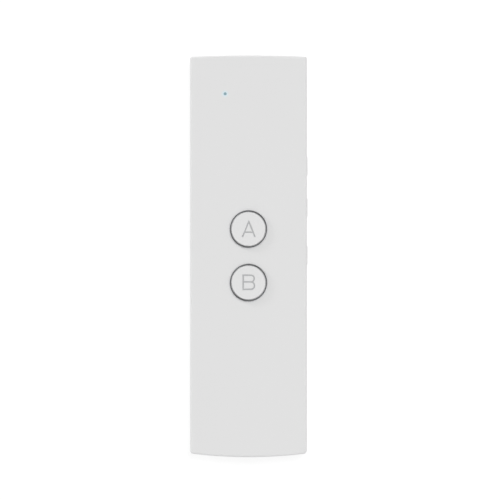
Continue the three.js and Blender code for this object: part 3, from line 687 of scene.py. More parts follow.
# Pan-headed screws, head downwards, with ridged shanks and crossed drives. Pan Share is how much
# of the head's height is rounded, and Tip Share how much thinner the tip is.
def makeScrews():
    tree, given = startTree("crossScrews", screwSizes)
    calc = partial(maths, tree)
    index = tree.nodes.new("GeometryNodeInputIndex").outputs[0]
    steps = given["Head Steps"]
    turn = progress(tree, index, 0.0, steps, quarter)
    pan = calc("MULTIPLY", given["Head Height"], given["Pan Share"])
    domed = calc("MULTIPLY", pan, calc("SUBTRACT", 1.0, calc("COSINE", turn)))
    seated = calc("GREATER_THAN", index, calc("ADD", steps, 0.5))
    rest = calc("MULTIPLY", seated, calc("SUBTRACT", given["Head Height"], pan))
    firstThread = calc("ADD", steps, 2.0)
    count = calc("ADD", firstThread, given["Thread Levels"])
    shank = progress(tree, index, firstThread, calc("SUBTRACT", count, 1.0), given["Shank Length"])
    height = calc("ADD", calc("ADD", calc("ADD", domed, rest), shank), given["Head Low"])
    widening = calc("MULTIPLY_ADD", calc("SINE", turn), 0.34, 0.66)
    edge = calc("MULTIPLY", given["Head Radius"], widening)
    ridge = calc("MULTIPLY", calc("FLOORED_MODULO", index, 2.0), given["Thread Depth"])
    taper = calc("MULTIPLY", given["Shank Radius"], given["Tip Share"])
    tip = progress(tree, index, calc("SUBTRACT", count, 3.0), calc("SUBTRACT", count, 1.0), taper)
    thread = calc("SUBTRACT", calc("SUBTRACT", given["Shank Radius"], ridge), tip)
    onShank = calc("GREATER_THAN", index, calc("SUBTRACT", firstThread, 0.5))
    radius = calc("MULTIPLY_ADD", onShank, calc("SUBTRACT", thread, edge), edge)
    screw = spindle(tree, count, given["Sides"], height, radius)
    cut = addNode(tree, "GeometryNodeMeshBoolean", {"Mesh 1": screw}, operation="DIFFERENCE",
                  solver="MANIFOLD")
    deep = calc("MULTIPLY", given["Drive Depth"], 2.0)
    lift = vector(tree, z=given["Head Low"])
    for first, second in (("Drive Width", "Drive Length"), ("Drive Length", "Drive Width")):
        size = vector(tree, given[first], given[second], deep)
        arm = addNode(tree, "GeometryNodeMeshCube", {"Size": size}).outputs["Mesh"]
        tree.links.new(moved(tree, arm, lift), cut.inputs["Mesh 2"])
    return endTree(tree, spread(tree, given, cut.outputs[0]), given)


# A rectangle with rounded corners, to be swept along a path.
def softSection(tree, width, height, bevel, steps):
    values = {"Width": width, "Height": height}
    plain = addNode(tree, "GeometryNodeCurvePrimitiveQuadrilateral", values).outputs[0]
    values = {"Curve": plain, "Radius": bevel, "Count": steps}
    return addNode(tree, "GeometryNodeFilletCurve", values, mode="POLY").outputs[0]


ringSizes = {
    "Inner Radius": 5.86 * mm,
    "Outer Radius": 6.52 * mm,
    "Low": 10.0 * mm,
    "High": 11.3 * mm,
    "Bevel": 0.19 * mm,
    "Middle Y": 0.0,
    "Sides": 128,
    "Bevel Steps": 4,
}


# A ring with a flat top and softly bevelled edges, swept round a circle.
def makeKeyRing():
    tree, given = startTree("keyRing", ringSizes)
    calc = partial(maths, tree)
    width = calc("SUBTRACT", given["Outer Radius"], given["Inner Radius"])
    tall = calc("SUBTRACT", given["High"], given["Low"])
    middle = calc("MULTIPLY_ADD", width, 0.5, given["Inner Radius"])
    values = {"Resolution": given["Sides"], "Radius": middle}
    path = addNode(tree, "GeometryNodeCurvePrimitiveCircle", values).outputs[0]
    section = softSection(tree, width, tall, given["Bevel"], given["Bevel Steps"])
    values = {"Curve": path, "Profile Curve": section}
    swept = addNode(tree, "GeometryNodeCurveToMesh", values).outputs[0]
    lift = calc("MULTIPLY_ADD", tall, 0.5, given["Low"])
    placed = moved(tree, swept, vector(tree, y=given["Middle Y"], z=lift))
    return endTree(tree, placed, given)


barSizes = {
    "Count": 1,
    "Pitch": 0.65 * mm,
    "Width": 0.34 * mm,
    "Length": 3.6 * mm,
    "Thickness": 0.05 * mm,
    "Bevel": 0.02 * mm,
    "Bevel Steps": 2,
}


# Small bars with eased edges side by side, in a row at each place and turned as it says.
def makeBarRows():
    tree, given = startTree("barRows", barSizes, "Places")
    calc = partial(maths, tree)
    back = vector(tree, y=calc("MULTIPLY", given["Length"], -0.5))
    front = vector(tree, y=calc("MULTIPLY", given["Length"], 0.5))
    line = addNode(tree, "GeometryNodeCurvePrimitiveLine", {"Start": back, "End": front})
    section = softSection(tree, given["Width"], given["Thickness"], given["Bevel"],
                          given["Bevel Steps"])
    values = {"Curve": line.outputs[0], "Profile Curve": section, "Fill Caps": True}
    solid = addNode(tree, "GeometryNodeCurveToMesh", values).outputs[0]
    row = addNode(tree, "GeometryNodeMeshGrid", {
        "Size X": calc("MULTIPLY", calc("SUBTRACT", given["Count"], 1.0), given["Pitch"]),
        "Size Y": 0.0,
        "Vertices X": given["Count"],
        "Vertices Y": 1,
    })
    values = {"Points": row.outputs["Mesh"], "Instance": solid}
    bars = addNode(tree, "GeometryNodeInstanceOnPoints", values).outputs[0]
    turn = addNode(tree, "GeometryNodeInputNamedAttribute", {"Name": "turn"}, data_type="FLOAT")
    rows = addNode(tree, "GeometryNodeInstanceOnPoints", {
        "Points": given["Places"],
        "Instance": bars,
        "Rotation": vector(tree, z=turn.outputs[0]),
    })
    return endTree(tree, rows.outputs[0], given)


caseBlock = makeCaseBlock()
barRows = makeBarRows()
drills = makeDrills()
crossScrews = makeScrews()
keyRing = makeKeyRing()
print("geometry trees made")


# Places that several pieces share, in millimetres.
keyYs = {"a": 9.315, "b": -9.015}
sideKeyYs = {"volume_up": 30.8, "volume_down": 16.6, "power": 0.4}
screwGrid = {
    "Columns": 2,
    "Rows": 2,
    "Column Pitch": 25.0 * mm,
    "Row Pitch": 120.77 * mm,
    "Middle Y": 0.405 * mm,
}
caseScrews = [(x, y) for x in (-12.5, 12.5) for y in (60.79, -59.98)]
boardScrews = [(x, y) for x in (-13.5, 13.5) for y in (49.55, -47.95)]
port = {
    "width": 7.96,
    "height": 2.96,
    "corner": 0.45,
    "z": 4.5,
    "outer": -69.2,
    "mouth": -68.72,
    "inner": -63.0,
    "ease": 0.2,
}


# The opening for the charging socket, which both covers share.
def portCutter():
    def mouth(level, growth):
        outline = bar(port["height"] + 2 * growth, port["width"] + 2 * growth,
                      port["corner"] + growth, port["z"], 0)
        return across("y", outline, level)

    ease = port["ease"]
    rings = [mouth(port["outer"], ease)]
    for share in (1, 0.66, 0.33, 0):
        turn = quarter * share
        level = port["mouth"] + ease - ease * math.sin(turn)
        rings.append(mouth(level, ease - ease * math.cos(turn)))
    rings.append(mouth(port["inner"], 0))
    return lofted("portCutter", rings, palePlastic)


# A round post, or the cutter for a round hole, standing at a place.
def post(name, radius, low, high, place, steps=28):
    return turned(name, [(radius, low), (radius, high)], *place, palePlastic, steps)


# A bar with round ends on the side, from its length and height and grown by so much all round.
def sideBar(sizes, y, growth):
    height = sizes["height"] + 2 * growth
    return bar(sizes["length"] + 2 * growth, height, height / 2, y, sizes["z"])


frontCover = {
    "top": 10.6,
    "rim": 5.0,
    "fillet": 0.55,
    "wall": 1.5,
    "lipLow": 3.9,
    "lipSetIn": 0.95,
    "bossTop": 9.5,
    "caseBoss": {"radius": 2.2, "low": 5.0, "pilot": 0.8, "pilotLow": 4.6, "pilotHigh": 8.0},
    "boardBoss": {"radius": 1.6, "low": 6.6, "pilot": 0.6, "pilotLow": 6.2, "pilotHigh": 8.8},
    "ribInner": 7.1,
    "ribOuter": 8.0,
    "ribLow": 8.35,
    "ribWidth": 0.8,
    "ribSpread": 1.3,
    "keyHole": 5.85,
    "keyHoleLow": 8.7,
    "ringSeat": 10.0,
    "ringHole": 6.55,
    "lightHole": 0.51,
}
keySlot = {"length": 7.4, "height": 2.6, "z": 7.4, "inner": 18.1, "face": 20, "ease": 0.12}
micHole = {
    "x": 6.5,
    "z": 8.0,
    "profile": [(0.52, -69.2), (0.52, -68.66), (0.44, -68.6), (0.4, -68.5), (0.4, -66)],
}


def makeFrontCover():
    sizes = {
        "Flat Height": frontCover["top"] * mm,
        "Rim Height": frontCover["rim"] * mm,
        "Edge Inset": frontCover["fillet"] * mm,
        "Edge Rise": frontCover["fillet"] * mm,
        "Edge Ease": 0.0,
        "Facing": -1.0,
    }
    cover = grown("frontCover", caseBlock, sizes, palePlastic)
    inner = frontCover["top"] - frontCover["wall"]
    plainEdge = {"Edge Inset": 0.05 * mm, "Edge Rise": 0.05 * mm, "Rim Round": 0.05 * mm}
    lip = grown("lip", caseBlock, {
        **sizes,
        **plainEdge,
        "Set In": frontCover["lipSetIn"] * mm,
        "Flat Height": (frontCover["rim"] + 0.4) * mm,
        "Rim Height": frontCover["lipLow"] * mm,
    }, palePlastic)
    hollow = grown("hollow", caseBlock, {
        **sizes,
        "Set In": frontCover["wall"] * mm,
        "Edge Inset": 0.4 * mm,
        "Edge Rise": 0.4 * mm,
        "Flat Height": inner * mm,
        "Rim Height": (frontCover["lipLow"] - 0.4) * mm,
    }, palePlastic)
    carve(cover, [lip], [hollow])
    bosses = []
    cutters = [portCutter()]
    kinds = ((caseScrews, frontCover["caseBoss"]), (boardScrews, frontCover["boardBoss"]))
    for places, boss in kinds:
        for place in places:
            bosses.append(post("boss", boss["radius"], boss["low"], frontCover["bossTop"], place))
            cutters.append(post("pilot", boss["pilot"], boss["pilotLow"], boss["pilotHigh"], place,
                                16))
    for y in keyYs.values():
        cutters.append(post("keyHole", frontCover["keyHole"], frontCover["keyHoleLow"],
                            frontCover["ringSeat"] + 0.3, (0, y), 128))
        for side in (-1, 1):
            back = y + side * frontCover["ribSpread"] - frontCover["ribWidth"] / 2
            low = (frontCover["ribInner"], back, frontCover["ribLow"])
            high = (frontCover["ribOuter"], back + frontCover["ribWidth"], frontCover["bossTop"])
            bosses.append(box("rib", low, high, palePlastic))
    facing = {"Surface": frontCover["top"] * mm, "Facing": -1.0}
    cutters.append(grown("ringSeats", drills, {
        **facing,
        "Radius": frontCover["ringHole"] * mm,
        "Flare": 0.03 * mm,
        "Depth": (frontCover["top"] - frontCover["ringSeat"]) * mm,
        "Sides": 128,
        "Rows": 2,
        "Row Pitch": (keyYs["a"] - keyYs["b"]) * mm,
        "Middle Y": (keyYs["a"] + keyYs["b"]) / 2 * mm,
    }, palePlastic))
    cutters.append(grown("lightHole", drills, {
        **facing,
        "Radius": frontCover["lightHole"] * mm,
        "Flare": 0.06 * mm,
        "Middle X": lightPlace[0] * mm,
        "Middle Y": lightPlace[1] * mm,
    }, palePlastic))
    for y in sideKeyYs.values():
        ease = keySlot["ease"]
        rings = [across("x", sideBar(keySlot, y, 0), keySlot["inner"])]
        for turn in (0, quarter / 3, quarter * 2 / 3, quarter):
            outline = sideBar(keySlot, y, ease * (1 - math.cos(turn)))
            rings.append(across("x", outline, keySlot["face"] - ease + ease * math.sin(turn)))
        rings.append(across("x", outline, keySlot["face"] + 0.4))
        cutters.append(lofted("slot", rings, palePlastic))
    micRings = [across("y", circle(radius, micHole["z"], micHole["x"], 28), level)
                for radius, level in micHole["profile"]]
    cutters.append(lofted("micHole", micRings, palePlastic))
    carve(cover, bosses, cutters)
    finish(cover, "case", "shell", "front_cover")


rearCover = {
    "rim": 4.8,
    "wall": 1.5,
    "lipRoom": 0.7,
    "lipFloor": 3.65,
    "bossRadius": 2.2,
    "bossLow": 0.75,
    "fenceXs": (-13.5, 7.5),
    "fenceYs": (-43.25, 23.55),
    "fenceSize": (6, 1),
    "fenceHigh": 3.9,
    "headHole": 1.8,
    "headDepth": 1.4,
    "shankHole": 0.8,
    "shankDepth": 5.2,
    "grilleY": 49.35,
}


def makeRearCover():
    cover = grown("rearCover", caseBlock, {}, palePlastic)
    hollow = grown("hollow", caseBlock, {
        "Set In": rearCover["wall"] * mm,
        "Flat Height": rearCover["wall"] * mm,
        "Edge Rise": (rearCover["rim"] - rearCover["wall"]) * mm,
        "Rim Height": (rearCover["rim"] + 0.4) * mm,
    }, palePlastic)
    room = grown("lipRoom", caseBlock, {
        "Set In": rearCover["lipRoom"] * mm,
        "Flat Height": rearCover["lipFloor"] * mm,
        "Edge Inset": 0.05 * mm,
        "Edge Rise": 0.05 * mm,
        "Edge Ease": 0.0,
        "Rim Height": (rearCover["rim"] + 0.4) * mm,
    }, palePlastic)
    carve(cover, [], [hollow, room, portCutter()])
    low = rearCover["bossLow"]
    joined = [post("boss", rearCover["bossRadius"], low, rearCover["rim"], place)
              for place in caseScrews]
    wide, deep = rearCover["fenceSize"]
    for y in rearCover["fenceYs"]:
        for x in rearCover["fenceXs"]:
            high = (x + wide, y + deep, rearCover["fenceHigh"])
            joined.append(box("fence", (x, y, low), high, palePlastic))
    grille = {"Columns": 7, "Rows": 3, "Middle Y": rearCover["grilleY"] * mm}
    heads = {
        **screwGrid,
        "Radius": rearCover["headHole"] * mm,
        "Flare": 0.2 * mm,
        "Depth": rearCover["headDepth"] * mm,
        "Sides": 40,
    }
    shanks = {
        **screwGrid,
        "Radius": rearCover["shankHole"] * mm,
        "Flare": 0.02 * mm,
        "Depth": rearCover["shankDepth"] * mm,
    }
    holes = [grown("holes", drills, sizes, palePlastic) for sizes in (grille, heads, shanks)]
    carve(cover, joined, holes)
    finish(cover, "case", "shell", "rear_cover")


makeFrontCover()
makeRearCover()
print("covers made")


# Round keys

roundKey = {
    "radius": 5.79,
    "flange": 6.9,
    "low": 8.5,
    "flangeLow": 8.7,
    "flangeHigh": 9.1,
    "rim": 11.35,
    "dish": 0.1,
    "ease": 0.14,
    "pip": 1.3,
    "tabInner": 6.5,
    "tabOuter": 7.8,
    "tabWidth": 1.4,
    "letterWidth": 0.56,
    "letterFoot": 0.44,
    "letterDepth": 0.16,
}


# A half circle from one height down to another, bulging to the right.
def bowl(x, top, foot, steps=16):
    size = (top - foot) / 2
    points = []
    for step in range(steps + 1):
        turn = math.pi * (0.5 - step / steps)
        points.append((x + size * math.cos(turn), foot + size + size * math.sin(turn)))
    return points


letterStrokes = {
    "a": [
        [(-2.06, -2.72), (0.11, 2.5), (2.26, -2.72)],
        [(-1.36, -1.08), (1.58, -1.08)],
    ],
    "b": [
        [(-1.8, 2.52), *bowl(0.82, 2.52, 0.24), (-1.8, 0.24)],
        [(0.5, 0.24), *bowl(0.8, 0.24, -2.3), (-1.8, -2.3)],
        [(-1.8, 2.79), (-1.8, -2.57)],
    ],
}


# A channel along a path, narrower at its foot.
def groove(points, middleY, low, high):
    path = [Vector((x, y + middleY)) for x, y in points]
    rings = []
    for index, here in enumerate(path):
        into = here - path[max(index - 1, 0)]
        out = path[min(index + 1, len(path) - 1)] - here
        way = (into.normalized() + out.normalized()).normalized()
        straight = out.normalized() if out.length else into.normalized()
        side = Vector((-way.y, way.x)) / max(way.dot(straight), 0.3)  # no longer at sharp corners
        wide = side * roundKey["letterWidth"] / 2
        foot = side * roundKey["letterFoot"] / 2
        corners = ((here - foot, low), (here + foot, low), (here + wide, high), (here - wide, high))
        rings.append([Vector((point.x, point.y, level)) * mm for point, level in corners])
    return lofted("groove", rings, letterInk)


def makeRoundKey(letter, y):
    ease = roundKey["ease"]
    rim = roundKey["rim"]
    edge = roundKey["radius"] - ease
    profile = [
        (roundKey["pip"], roundKey["low"]),
        (roundKey["pip"], roundKey["flangeLow"]),
        (roundKey["flange"], roundKey["flangeLow"]),
        (roundKey["flange"], roundKey["flangeHigh"]),
        (roundKey["radius"], roundKey["flangeHigh"]),
        *easing(edge, rim - ease, ease, 0, 90),
    ]
    for share in (0.97, 0.85, 0.7, 0.5, 0.3, 0.12):
        profile.append((edge * share, rim - roundKey["dish"] * (1 - share ** 2)))
    key = turned("roundKey" + letter.upper(), profile, 0, y, keyPlastic, 128)
    half = roundKey["tabWidth"] / 2
    tab = box("tab", (roundKey["tabInner"], y - half, roundKey["flangeLow"]),
              (roundKey["tabOuter"], y + half, roundKey["flangeHigh"]), keyPlastic)
    low = rim - roundKey["dish"] - roundKey["letterDepth"]
    cuts = [groove(stroke, y, low, rim + 0.1) for stroke in letterStrokes[letter]]
    carve(key, [tab], cuts)
    finish(key, "button_" + letter, "cap", "button_" + letter)


for letter, y in keyYs.items():
    makeRoundKey(letter, y)
    ring = grown("keyRing" + letter.upper(), keyRing, {"Middle Y": y * mm}, polishedRing)
    finish(ring, "case", "chrome", "ring_" + letter)
print("round keys made")


# Side keys

sideKey = {
    "length": 7.0,
    "height": 2.2,
    "z": 7.4,
    "inner": 18.1,
    "outer": 20.25,
    "ease": 0.25,
    "crown": 0.12,
    "crownReach": 0.7,
    "flangeInner": 17.9,
    "flangeOuter": 18.5,
    "hook": 4.2,
}


def makeSideKey(name, y):
    words = name.split("_")
    ease = sideKey["ease"]
    shoulder = sideKey["outer"] - sideKey["crown"] - ease
    rings = [across("x", sideBar(sideKey, y, 0), sideKey["inner"])]
    for share in (0, 0.25, 0.5, 0.75, 1):
        turn = share * quarter
        outline = sideBar(sideKey, y, -ease * (1 - math.cos(turn)))
        rings.append(across("x", outline, shoulder + ease * math.sin(turn)))
    for share in (0.2, 0.45, 0.7, 1):
        level = sideKey["outer"] - sideKey["crown"] * (1 - share) ** 2
        outline = sideBar(sideKey, y, -(ease + share * sideKey["crownReach"]))
        rings.append(across("x", outline, level))
    key = lofted(words[0] + "".join(word.title() for word in words[1:]), rings, keyPlastic)
    half = sideKey["height"] / 2
    low = (sideKey["flangeInner"], y - sideKey["hook"], sideKey["z"] - half)
    high = (sideKey["flangeOuter"], y + sideKey["hook"], sideKey["z"] + half)
    carve(key, [box("flange", low, high, keyPlastic)], [])
    finish(key, name, "cap", name)


for name, y in sideKeyYs.items():
    makeSideKey(name + "_key", y)
print("side keys made")


# Indicator light

lightPipe = {
    "radius": 0.48,
    "flange": 1.2,
    "low": 7.6,
    "flangeLow": 8.6,
    "flangeHigh": 9.1,
    "end": [(0.48, 10.5), (0.43, 10.55), (0.29, 10.585), (0.1, 10.6)],
    "colour": (132, 158, 166),
    "glowEdge": (84, 109, 117),
    "glowMiddle": (121, 142, 146),
    "glowStrength": 0.4,
}


# The little lens, lit from behind more strongly towards its middle.
def makeBlueLens():
    shaderValues = {"Coat Weight": 0.3, "Emission Strength": lightPipe["glowStrength"]}
    material, tree, shader = newMaterial("blueLens", shaderValues)
    values = {"Colour": rgb(*lightPipe["colour"]), "Gloss": 0.25, "Grain": 9000.0, "Drift": 0.06}
    dress(tree, shader, mouldedSkin, values, 0.05)
    edge = rgb(*lightPipe["glowEdge"])
    middle = rgb(*lightPipe["glowMiddle"])
    glow = mixed(tree, lightLevel(tree, 0.0, 0.5), edge, middle)
    tree.links.new(glow, shader.inputs["Emission Color"])
    return material


def makeLightPipe():
    profile = [
        (lightPipe["radius"], lightPipe["low"]),
        (lightPipe["radius"], lightPipe["flangeLow"]),
        (lightPipe["flange"], lightPipe["flangeLow"]),
        (lightPipe["flange"], lightPipe["flangeHigh"]),
        (lightPipe["radius"], lightPipe["flangeHigh"]),
        *lightPipe["end"],
    ]
    pipe = turned("lightPipe", profile, *lightPlace, makeBlueLens(), 40)
    finish(pipe, "case", "clear", "light_pipe")


makeLightPipe()


# Charging socket

socket = {
    "width": 7.6,
    "height": 2.6,
    "chamfer": 0.9,
    "corner": 0.28,
    "boreChamfer": 0.72,
    "boreCorner": 0.16,
    "mouth": -68.25,
    "inner": -63.05,
    "outerTurns": [(0.1, 0), (0.02, 0.08), (0, 0.2)],
    "innerTurns": [(0.22, -0.2), (0.22, 0), (0.3, 0.15)],
    "contacts": (0, -65.4, 4.19, 0),
}


# A flattened tube with its lower corners cut off. Its turns give how far in it is at each level
# above the mouth, and the last of them goes on to its end.
def socketTube(name, chamfer, corner, turns, end):
    stations = [(shrink, socket["mouth"] + rise) for shrink, rise in turns]
    stations.append((turns[-1][0], end))
    rings = []
    for shrink, level in stations:
        x = socket["width"] / 2 - shrink
        low = port["z"] - socket["height"] / 2 + shrink
        high = port["z"] + socket["height"] / 2 - shrink
        corners = [(high, -x), (high, x), (low + chamfer, x), (low, x - chamfer),
                   (low, chamfer - x), (low + chamfer, -x)]
        rings.append(across("y", softOutline(corners, corner, 4), level))
    return lofted(name, rings, nickelSteel)


def makeSocket():
    shell = socketTube("socketShell", socket["chamfer"], socket["corner"], socket["outerTurns"],
                       socket["inner"])
    bore = socketTube("bore", socket["boreChamfer"], socket["boreCorner"], socket["innerTurns"],
                      socket["inner"] + 0.4)
    carve(shell, [], [bore])
    finish(shell, "case", "steel", "usb_shell")
    springs = grown("socketContacts", barRows, {"Count": 5}, goldContact, [socket["contacts"]])
    finish(springs, "case", "chrome")


makeSocket()
print("light and socket made")


# Screws

boardScrew = {
    "Columns": 2,
    "Rows": 2,
    "Column Pitch": 27.0 * mm,
    "Row Pitch": 97.5 * mm,
    "Middle Y": 0.8 * mm,
    "Head Low": 5.1 * mm,
    "Head Height": 0.7 * mm,
    "Head Radius": 1.3 * mm,
    "Shank Radius": 0.5 * mm,
    "Shank Length": 2.6 * mm,
    "Thread Depth": 0.09 * mm,
    "Drive Width": 0.3 * mm,
    "Drive Length": 1.65 * mm,
    "Drive Depth": 0.4 * mm,
    "Thread Levels": 14,
}
for name, sizes in (("case", screwGrid), ("board", boardScrew)):
    screws = grown(name + "Screws", crossScrews, sizes, nickelSteel)
    finish(screws, "case", "steel", *[name + "_screw_" + number for number in "1234"])
print("screws made")


# Battery cell, a foil pouch with tape over its head

batteryCell = {
    "width": 30.5,
    "length": 57.7,
    "corner": 1.6,
    "y": -13.1,
    "low": 2.0,
    "high": 5.4,
    "ease": 0.75,
    "tapeStart": 12.6,
    "tape": (214, 148, 40),
}


# The battery's foil, with amber tape round it near its head.
def makePouchFoil():
    material = foil("pouchFoil")
    tree = material.node_tree
    shader = tree.nodes["Principled BSDF"]
    along = addNode(tree, "ShaderNodeSeparateXYZ", {0: ownPlace(tree)}).outputs[1]
    taped = maths(tree, "GREATER_THAN", along, batteryCell["tapeStart"] * mm)
    bare = shader.inputs["Base Color"].links[0].from_socket
    colour = mixed(tree, taped, bare, rgb(*batteryCell["tape"]))
    tree.links.new(colour, shader.inputs["Base Color"])
    tree.links.new(maths(tree, "SUBTRACT", 1.0, taped), shader.inputs["Metallic"])
    return material


# A slab's outline at one height, let in by so much all round.
def slabOutline(slab, inset, z):
    width = slab["width"] - 2 * inset
    length = slab["length"] - 2 * inset
    return across("z", bar(width, length, slab["corner"], 0, slab["y"]), z)


# The outlines up a slab's eased edge, between two angles of its bend.
def slabEdge(slab, height, start, end):
    bend = easing(0, height, slab["ease"], start, end)
    return [slabOutline(slab, slab["ease"] - out, z) for out, z in bend]


def makeBatteryCell():
    ease = batteryCell["ease"]
    rings = slabEdge(batteryCell, batteryCell["low"] + ease, -90, 0)
    rings += slabEdge(batteryCell, batteryCell["high"] - ease, 0, 90)
    cell = lofted("batteryCell", rings, makePouchFoil())
    finish(cell, "case", "foil", "battery_cell")


# Can over the radio chips, folded from sheet and pierced

radioCan = {
    "width": 16.0,
    "length": 17.0,
    "corner": 0.6,
    "y": 37.65,
    "low": 6.6,
    "high": 8.1,
    "sheet": 0.2,
    "ease": 0.25,
}
canHoles = {
    "Columns": 6,
    "Rows": 6,
    "Column Pitch": 2.4 * mm,
    "Row Pitch": 2.5 * mm,
    "Radius": 0.4 * mm,
    "Flare": 0.04 * mm,
    "Surface": radioCan["high"] * mm,
    "Depth": 0.6 * mm,
    "Facing": -1.0,
    "Sides": 20,
    "Middle Y": radioCan["y"] * mm,
}


def makeRadioCan():
    low = radioCan["low"]
    high = radioCan["high"]
    sheet = radioCan["sheet"]
    rings = [slabOutline(radioCan, 0, low), *slabEdge(radioCan, high - radioCan["ease"], 0, 90)]
    can = lofted("radioCan", rings, nickelSteel)
    room = [slabOutline(radioCan, sheet, low - 0.2), slabOutline(radioCan, sheet, high - sheet)]
    holes = grown("canHoles", drills, canHoles, nickelSteel)
    carve(can, [], [lofted("inside", room, nickelSteel), holes])
    finish(can, "case", "steel", "radio_shield")


# Chips with metal ends on the board: where each is, and how it is turned

boardChips = {
    "board": 6.6,
    "length": 1.0,
    "width": 0.5,
    "height": 0.42,
    "end": 0.24,
    "endOver": 0.03,
    "bevel": 0.05,
}
capacitors = [
    *[(x, 27.5, quarter) for x in (-6.6, -4.4, -2.2, 0, 2.2, 4.4, 6.6)],
    *[(9.5, 31.4 + 2.5 * step, quarter) for step in range(6)],
    *[(x, y, 0) for x in (-3.3, 3.3) for y in (-50.7, -52.8)],
    *[(x, -61.2, quarter) for x in (-1.8, 0, 1.8)],
    (-1.5, 59.9, 0),
    (1.5, 59.9, 0),
    (-10.45, 34.7, 0),
    (-10.45, 40.6, 0),
]
resistors = [
    *[(x, 24.9, 0) for x in (-5, -3, -1, 1, 3, 5)],
    *[(12.6, y, quarter) for y in sideKeyYs.values()],
    *[(-3.7, y, quarter) for y in keyYs.values()],
    (-0.9, -48.4, 0),
    (0.9, -48.4, 0),
    (-5.9, 55.6, 0),
]


def makeBoardChips():
    middle = boardChips["board"] + boardChips["height"] / 2
    between = boardChips["length"] - 2 * boardChips["end"]
    core = {
        "Width": between * mm,
        "Length": (boardChips["width"] - boardChips["endOver"]) * mm,
        "Thickness": (boardChips["height"] - boardChips["endOver"]) * mm,
        "Bevel": boardChips["bevel"] * mm,
    }
    ends = {
        "Count": 2,
        "Pitch": (between + boardChips["end"]) * mm,
        "Width": boardChips["end"] * mm,
        "Length": boardChips["width"] * mm,
        "Thickness": boardChips["height"] * mm,
        "Bevel": boardChips["bevel"] * mm,
    }
    for name, places, sizes, material, slot in (
        ("capacitors", capacitors, core, tanCeramic, "ceramic"),
        ("resistors", resistors, core, blackResin, "black"),
        ("chipEnds", capacitors + resistors, ends, nickelSteel, "steel"),
    ):
        spots = [(x, y, middle, turn) for x, y, turn in places]
        finish(grown(name, barRows, sizes, material, spots), "case", slot)


makeBatteryCell()
makeRadioCan()
makeBoardChips()
print("cell, can and chips made")


# Finishes of the parts inside, which keep their own shapes.
switches = ["switch_" + name for name in (*keyYs, *sideKeyYs)]
insideFinishes = {
    boardLaminate: ["main_board", "battery_board"],
    blackResin: ["speaker_frame", "processor_chip", "memory_chip", "charger_chip", "usb_tongue",
                 *[name + "_body" for name in switches]],
    naturalNylon: ["battery_socket", "battery_plug", *[name + "_plunger" for name in switches]],
    cellFoil: ["speaker_diaphragm", "crystal"],
    darkFoam: ["battery_pad", "speaker_gasket", "mic_boot"],
    speakerCloth: ["speaker_mesh"],
    nickelSteel: ["speaker_magnet", "mic_capsule"],
    redSleeve: ["battery_lead_red", "speaker_lead_red"],
    blackSleeve: ["battery_lead_black", "speaker_lead_black"],
    paleCeramic: ["indicator_led", "antenna"],
}
for material, names in insideFinishes.items():
    for name in names:
        nodes[name].material_slots[0].material = material
print("inside finished")


# Floor, light and camera

stage = {
    "floorLow": -0.02,
    "floorHalf": 2500.0,
    "floorTone": 0.26,
    "floorGlow": 0.54,
    "floorShown": 0.8,
    "skyLevel": 0.6,
    "horizonLevel": 1.0,
    "zenithLevel": 0.11,
    "fallStart": 0.02,
    "fallEnd": 0.8,
    "boxTurn": -23,
    "boxReach": 0.85,
}


# One where something is seen by the camera, and one where it is seen in a shine or through glass.
def rayKinds(tree):
    rays = tree.nodes.new("ShaderNodeLightPath").outputs
    mirrored = maths(tree, "MAXIMUM", rays["Is Glossy Ray"], rays["Is Transmission Ray"])
    return rays["Is Camera Ray"], mirrored


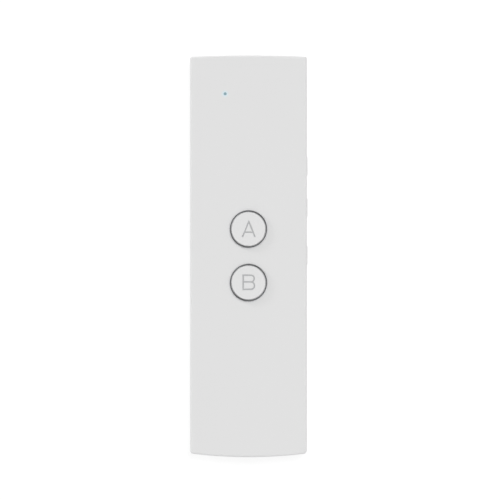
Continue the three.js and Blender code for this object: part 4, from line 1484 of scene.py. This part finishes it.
def makeFloor():
    half = stage["floorHalf"]
    mesh = bpy.data.meshes.new("floor")
    corners = across("z", rectangle(2 * half, 2 * half), stage["floorLow"])
    mesh.from_pydata(corners, [], [(0, 1, 2, 3)])
    floor = newPiece("floor", mesh)
    material = bpy.data.materials.new("paleFloor")
    material.use_nodes = True
    tree = material.node_tree
    tree.nodes.remove(tree.nodes["Principled BSDF"])
    tone = stage["floorTone"]
    matt = addNode(tree, "ShaderNodeBsdfDiffuse", {"Color": (tone, tone, tone, 1)})
    shown = maths(tree, "MAXIMUM", *rayKinds(tree))
    glow = maths(tree, "MULTIPLY_ADD", shown, stage["floorShown"] - stage["floorGlow"],
                 stage["floorGlow"])
    shine = addNode(tree, "ShaderNodeEmission", {"Strength": glow})
    added = addNode(tree, "ShaderNodeAddShader", {0: matt.outputs[0], 1: shine.outputs[0]})
    # From below one looks through the floor, so that the back of the object can be seen.
    below = tree.nodes.new("ShaderNodeNewGeometry").outputs["Backfacing"]
    clear = tree.nodes.new("ShaderNodeBsdfTransparent")
    either = addNode(tree, "ShaderNodeMixShader", {0: below, 1: added.outputs[0],
                                                   2: clear.outputs[0]})
    tree.links.new(either.outputs[0], tree.nodes["Material Output"].inputs["Surface"])
    mesh.materials.append(material)
    floor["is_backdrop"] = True


# What shines mirror is bright low down and dark overhead. The brightness reaches higher at two
# opposite sides, as from a light box at each.
def makeSky():
    sky = bpy.data.worlds.new("studioSky")
    sky.use_nodes = True
    bpy.context.scene.world = sky
    tree = sky.node_tree
    direction = tree.nodes.new("ShaderNodeTexCoord").outputs["Generated"]
    height = addNode(tree, "ShaderNodeSeparateXYZ", {0: direction}).outputs[2]
    seen, mirrored = rayKinds(tree)
    turn = math.radians(stage["boxTurn"])
    values = {0: direction, 1: (math.cos(turn), math.sin(turn), 0)}
    side = addNode(tree, "ShaderNodeVectorMath", values, operation="DOT_PRODUCT").outputs["Value"]
    boxes = maths(tree, "MULTIPLY", maths(tree, "MULTIPLY", side, side), stage["boxReach"])
    level = maths(tree, "SUBTRACT", height, boxes)
    fall = progress(tree, level, stage["fallStart"], stage["fallEnd"],
                    stage["zenithLevel"] - stage["horizonLevel"])
    extra = maths(tree, "ADD", fall, stage["horizonLevel"] - stage["skyLevel"])
    shine = maths(tree, "MULTIPLY", mirrored, extra)
    backdrop = maths(tree, "MULTIPLY_ADD", seen, 1.0 - stage["skyLevel"], stage["skyLevel"])
    lit = maths(tree, "ADD", backdrop, shine)
    tree.links.new(lit, tree.nodes["Background"].inputs["Strength"])
    tree.nodes["Background"].inputs["Color"].default_value = (1, 1, 1, 1)


lamps = {
    "keyLamp": {"from": (0.16, 0.26, 0.95), "strength": 1.1, "angle": 18},
    "lowLamp": {"from": (-0.8, 0.556, 0.216), "strength": 0.8, "angle": 12},
}


def makeLamps():
    for name, lamp in lamps.items():
        light = bpy.data.lights.new(name, "SUN")
        light.energy = lamp["strength"]
        light.angle = math.radians(lamp["angle"])
        holder = bpy.data.objects.new(name, light)
        holder.rotation_mode = "QUATERNION"
        holder.rotation_quaternion = Vector(lamp["from"]).to_track_quat("Z", "Y")
        holder.visible_glossy = False
        bpy.context.scene.collection.objects.link(holder)


view = {
    "centre": (0.52, 2.15),
    "height": 1400.0,
    "across": 171.05,
    "sensor": 36.0,
}


def makeCamera():
    data = bpy.data.cameras.new("camera")
    data.sensor_width = view["sensor"]
    data.lens = view["sensor"] * view["height"] / view["across"]
    data.clip_start = 0.1
    data.clip_end = 10
    camera = bpy.data.objects.new("camera", data)
    x, y = view["centre"]
    camera.location = Vector((x, y, view["height"] + frontCover["top"])) * mm
    bpy.context.scene.collection.objects.link(camera)
    bpy.context.scene.camera = camera


makeFloor()
makeSky()
makeLamps()
makeCamera()
bpy.context.scene.view_settings.view_transform = "Standard"
print("stage made")

sizes = {"cad": [list(corner) for corner in cadBox],
         "visual": [list(corner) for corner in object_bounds()]}
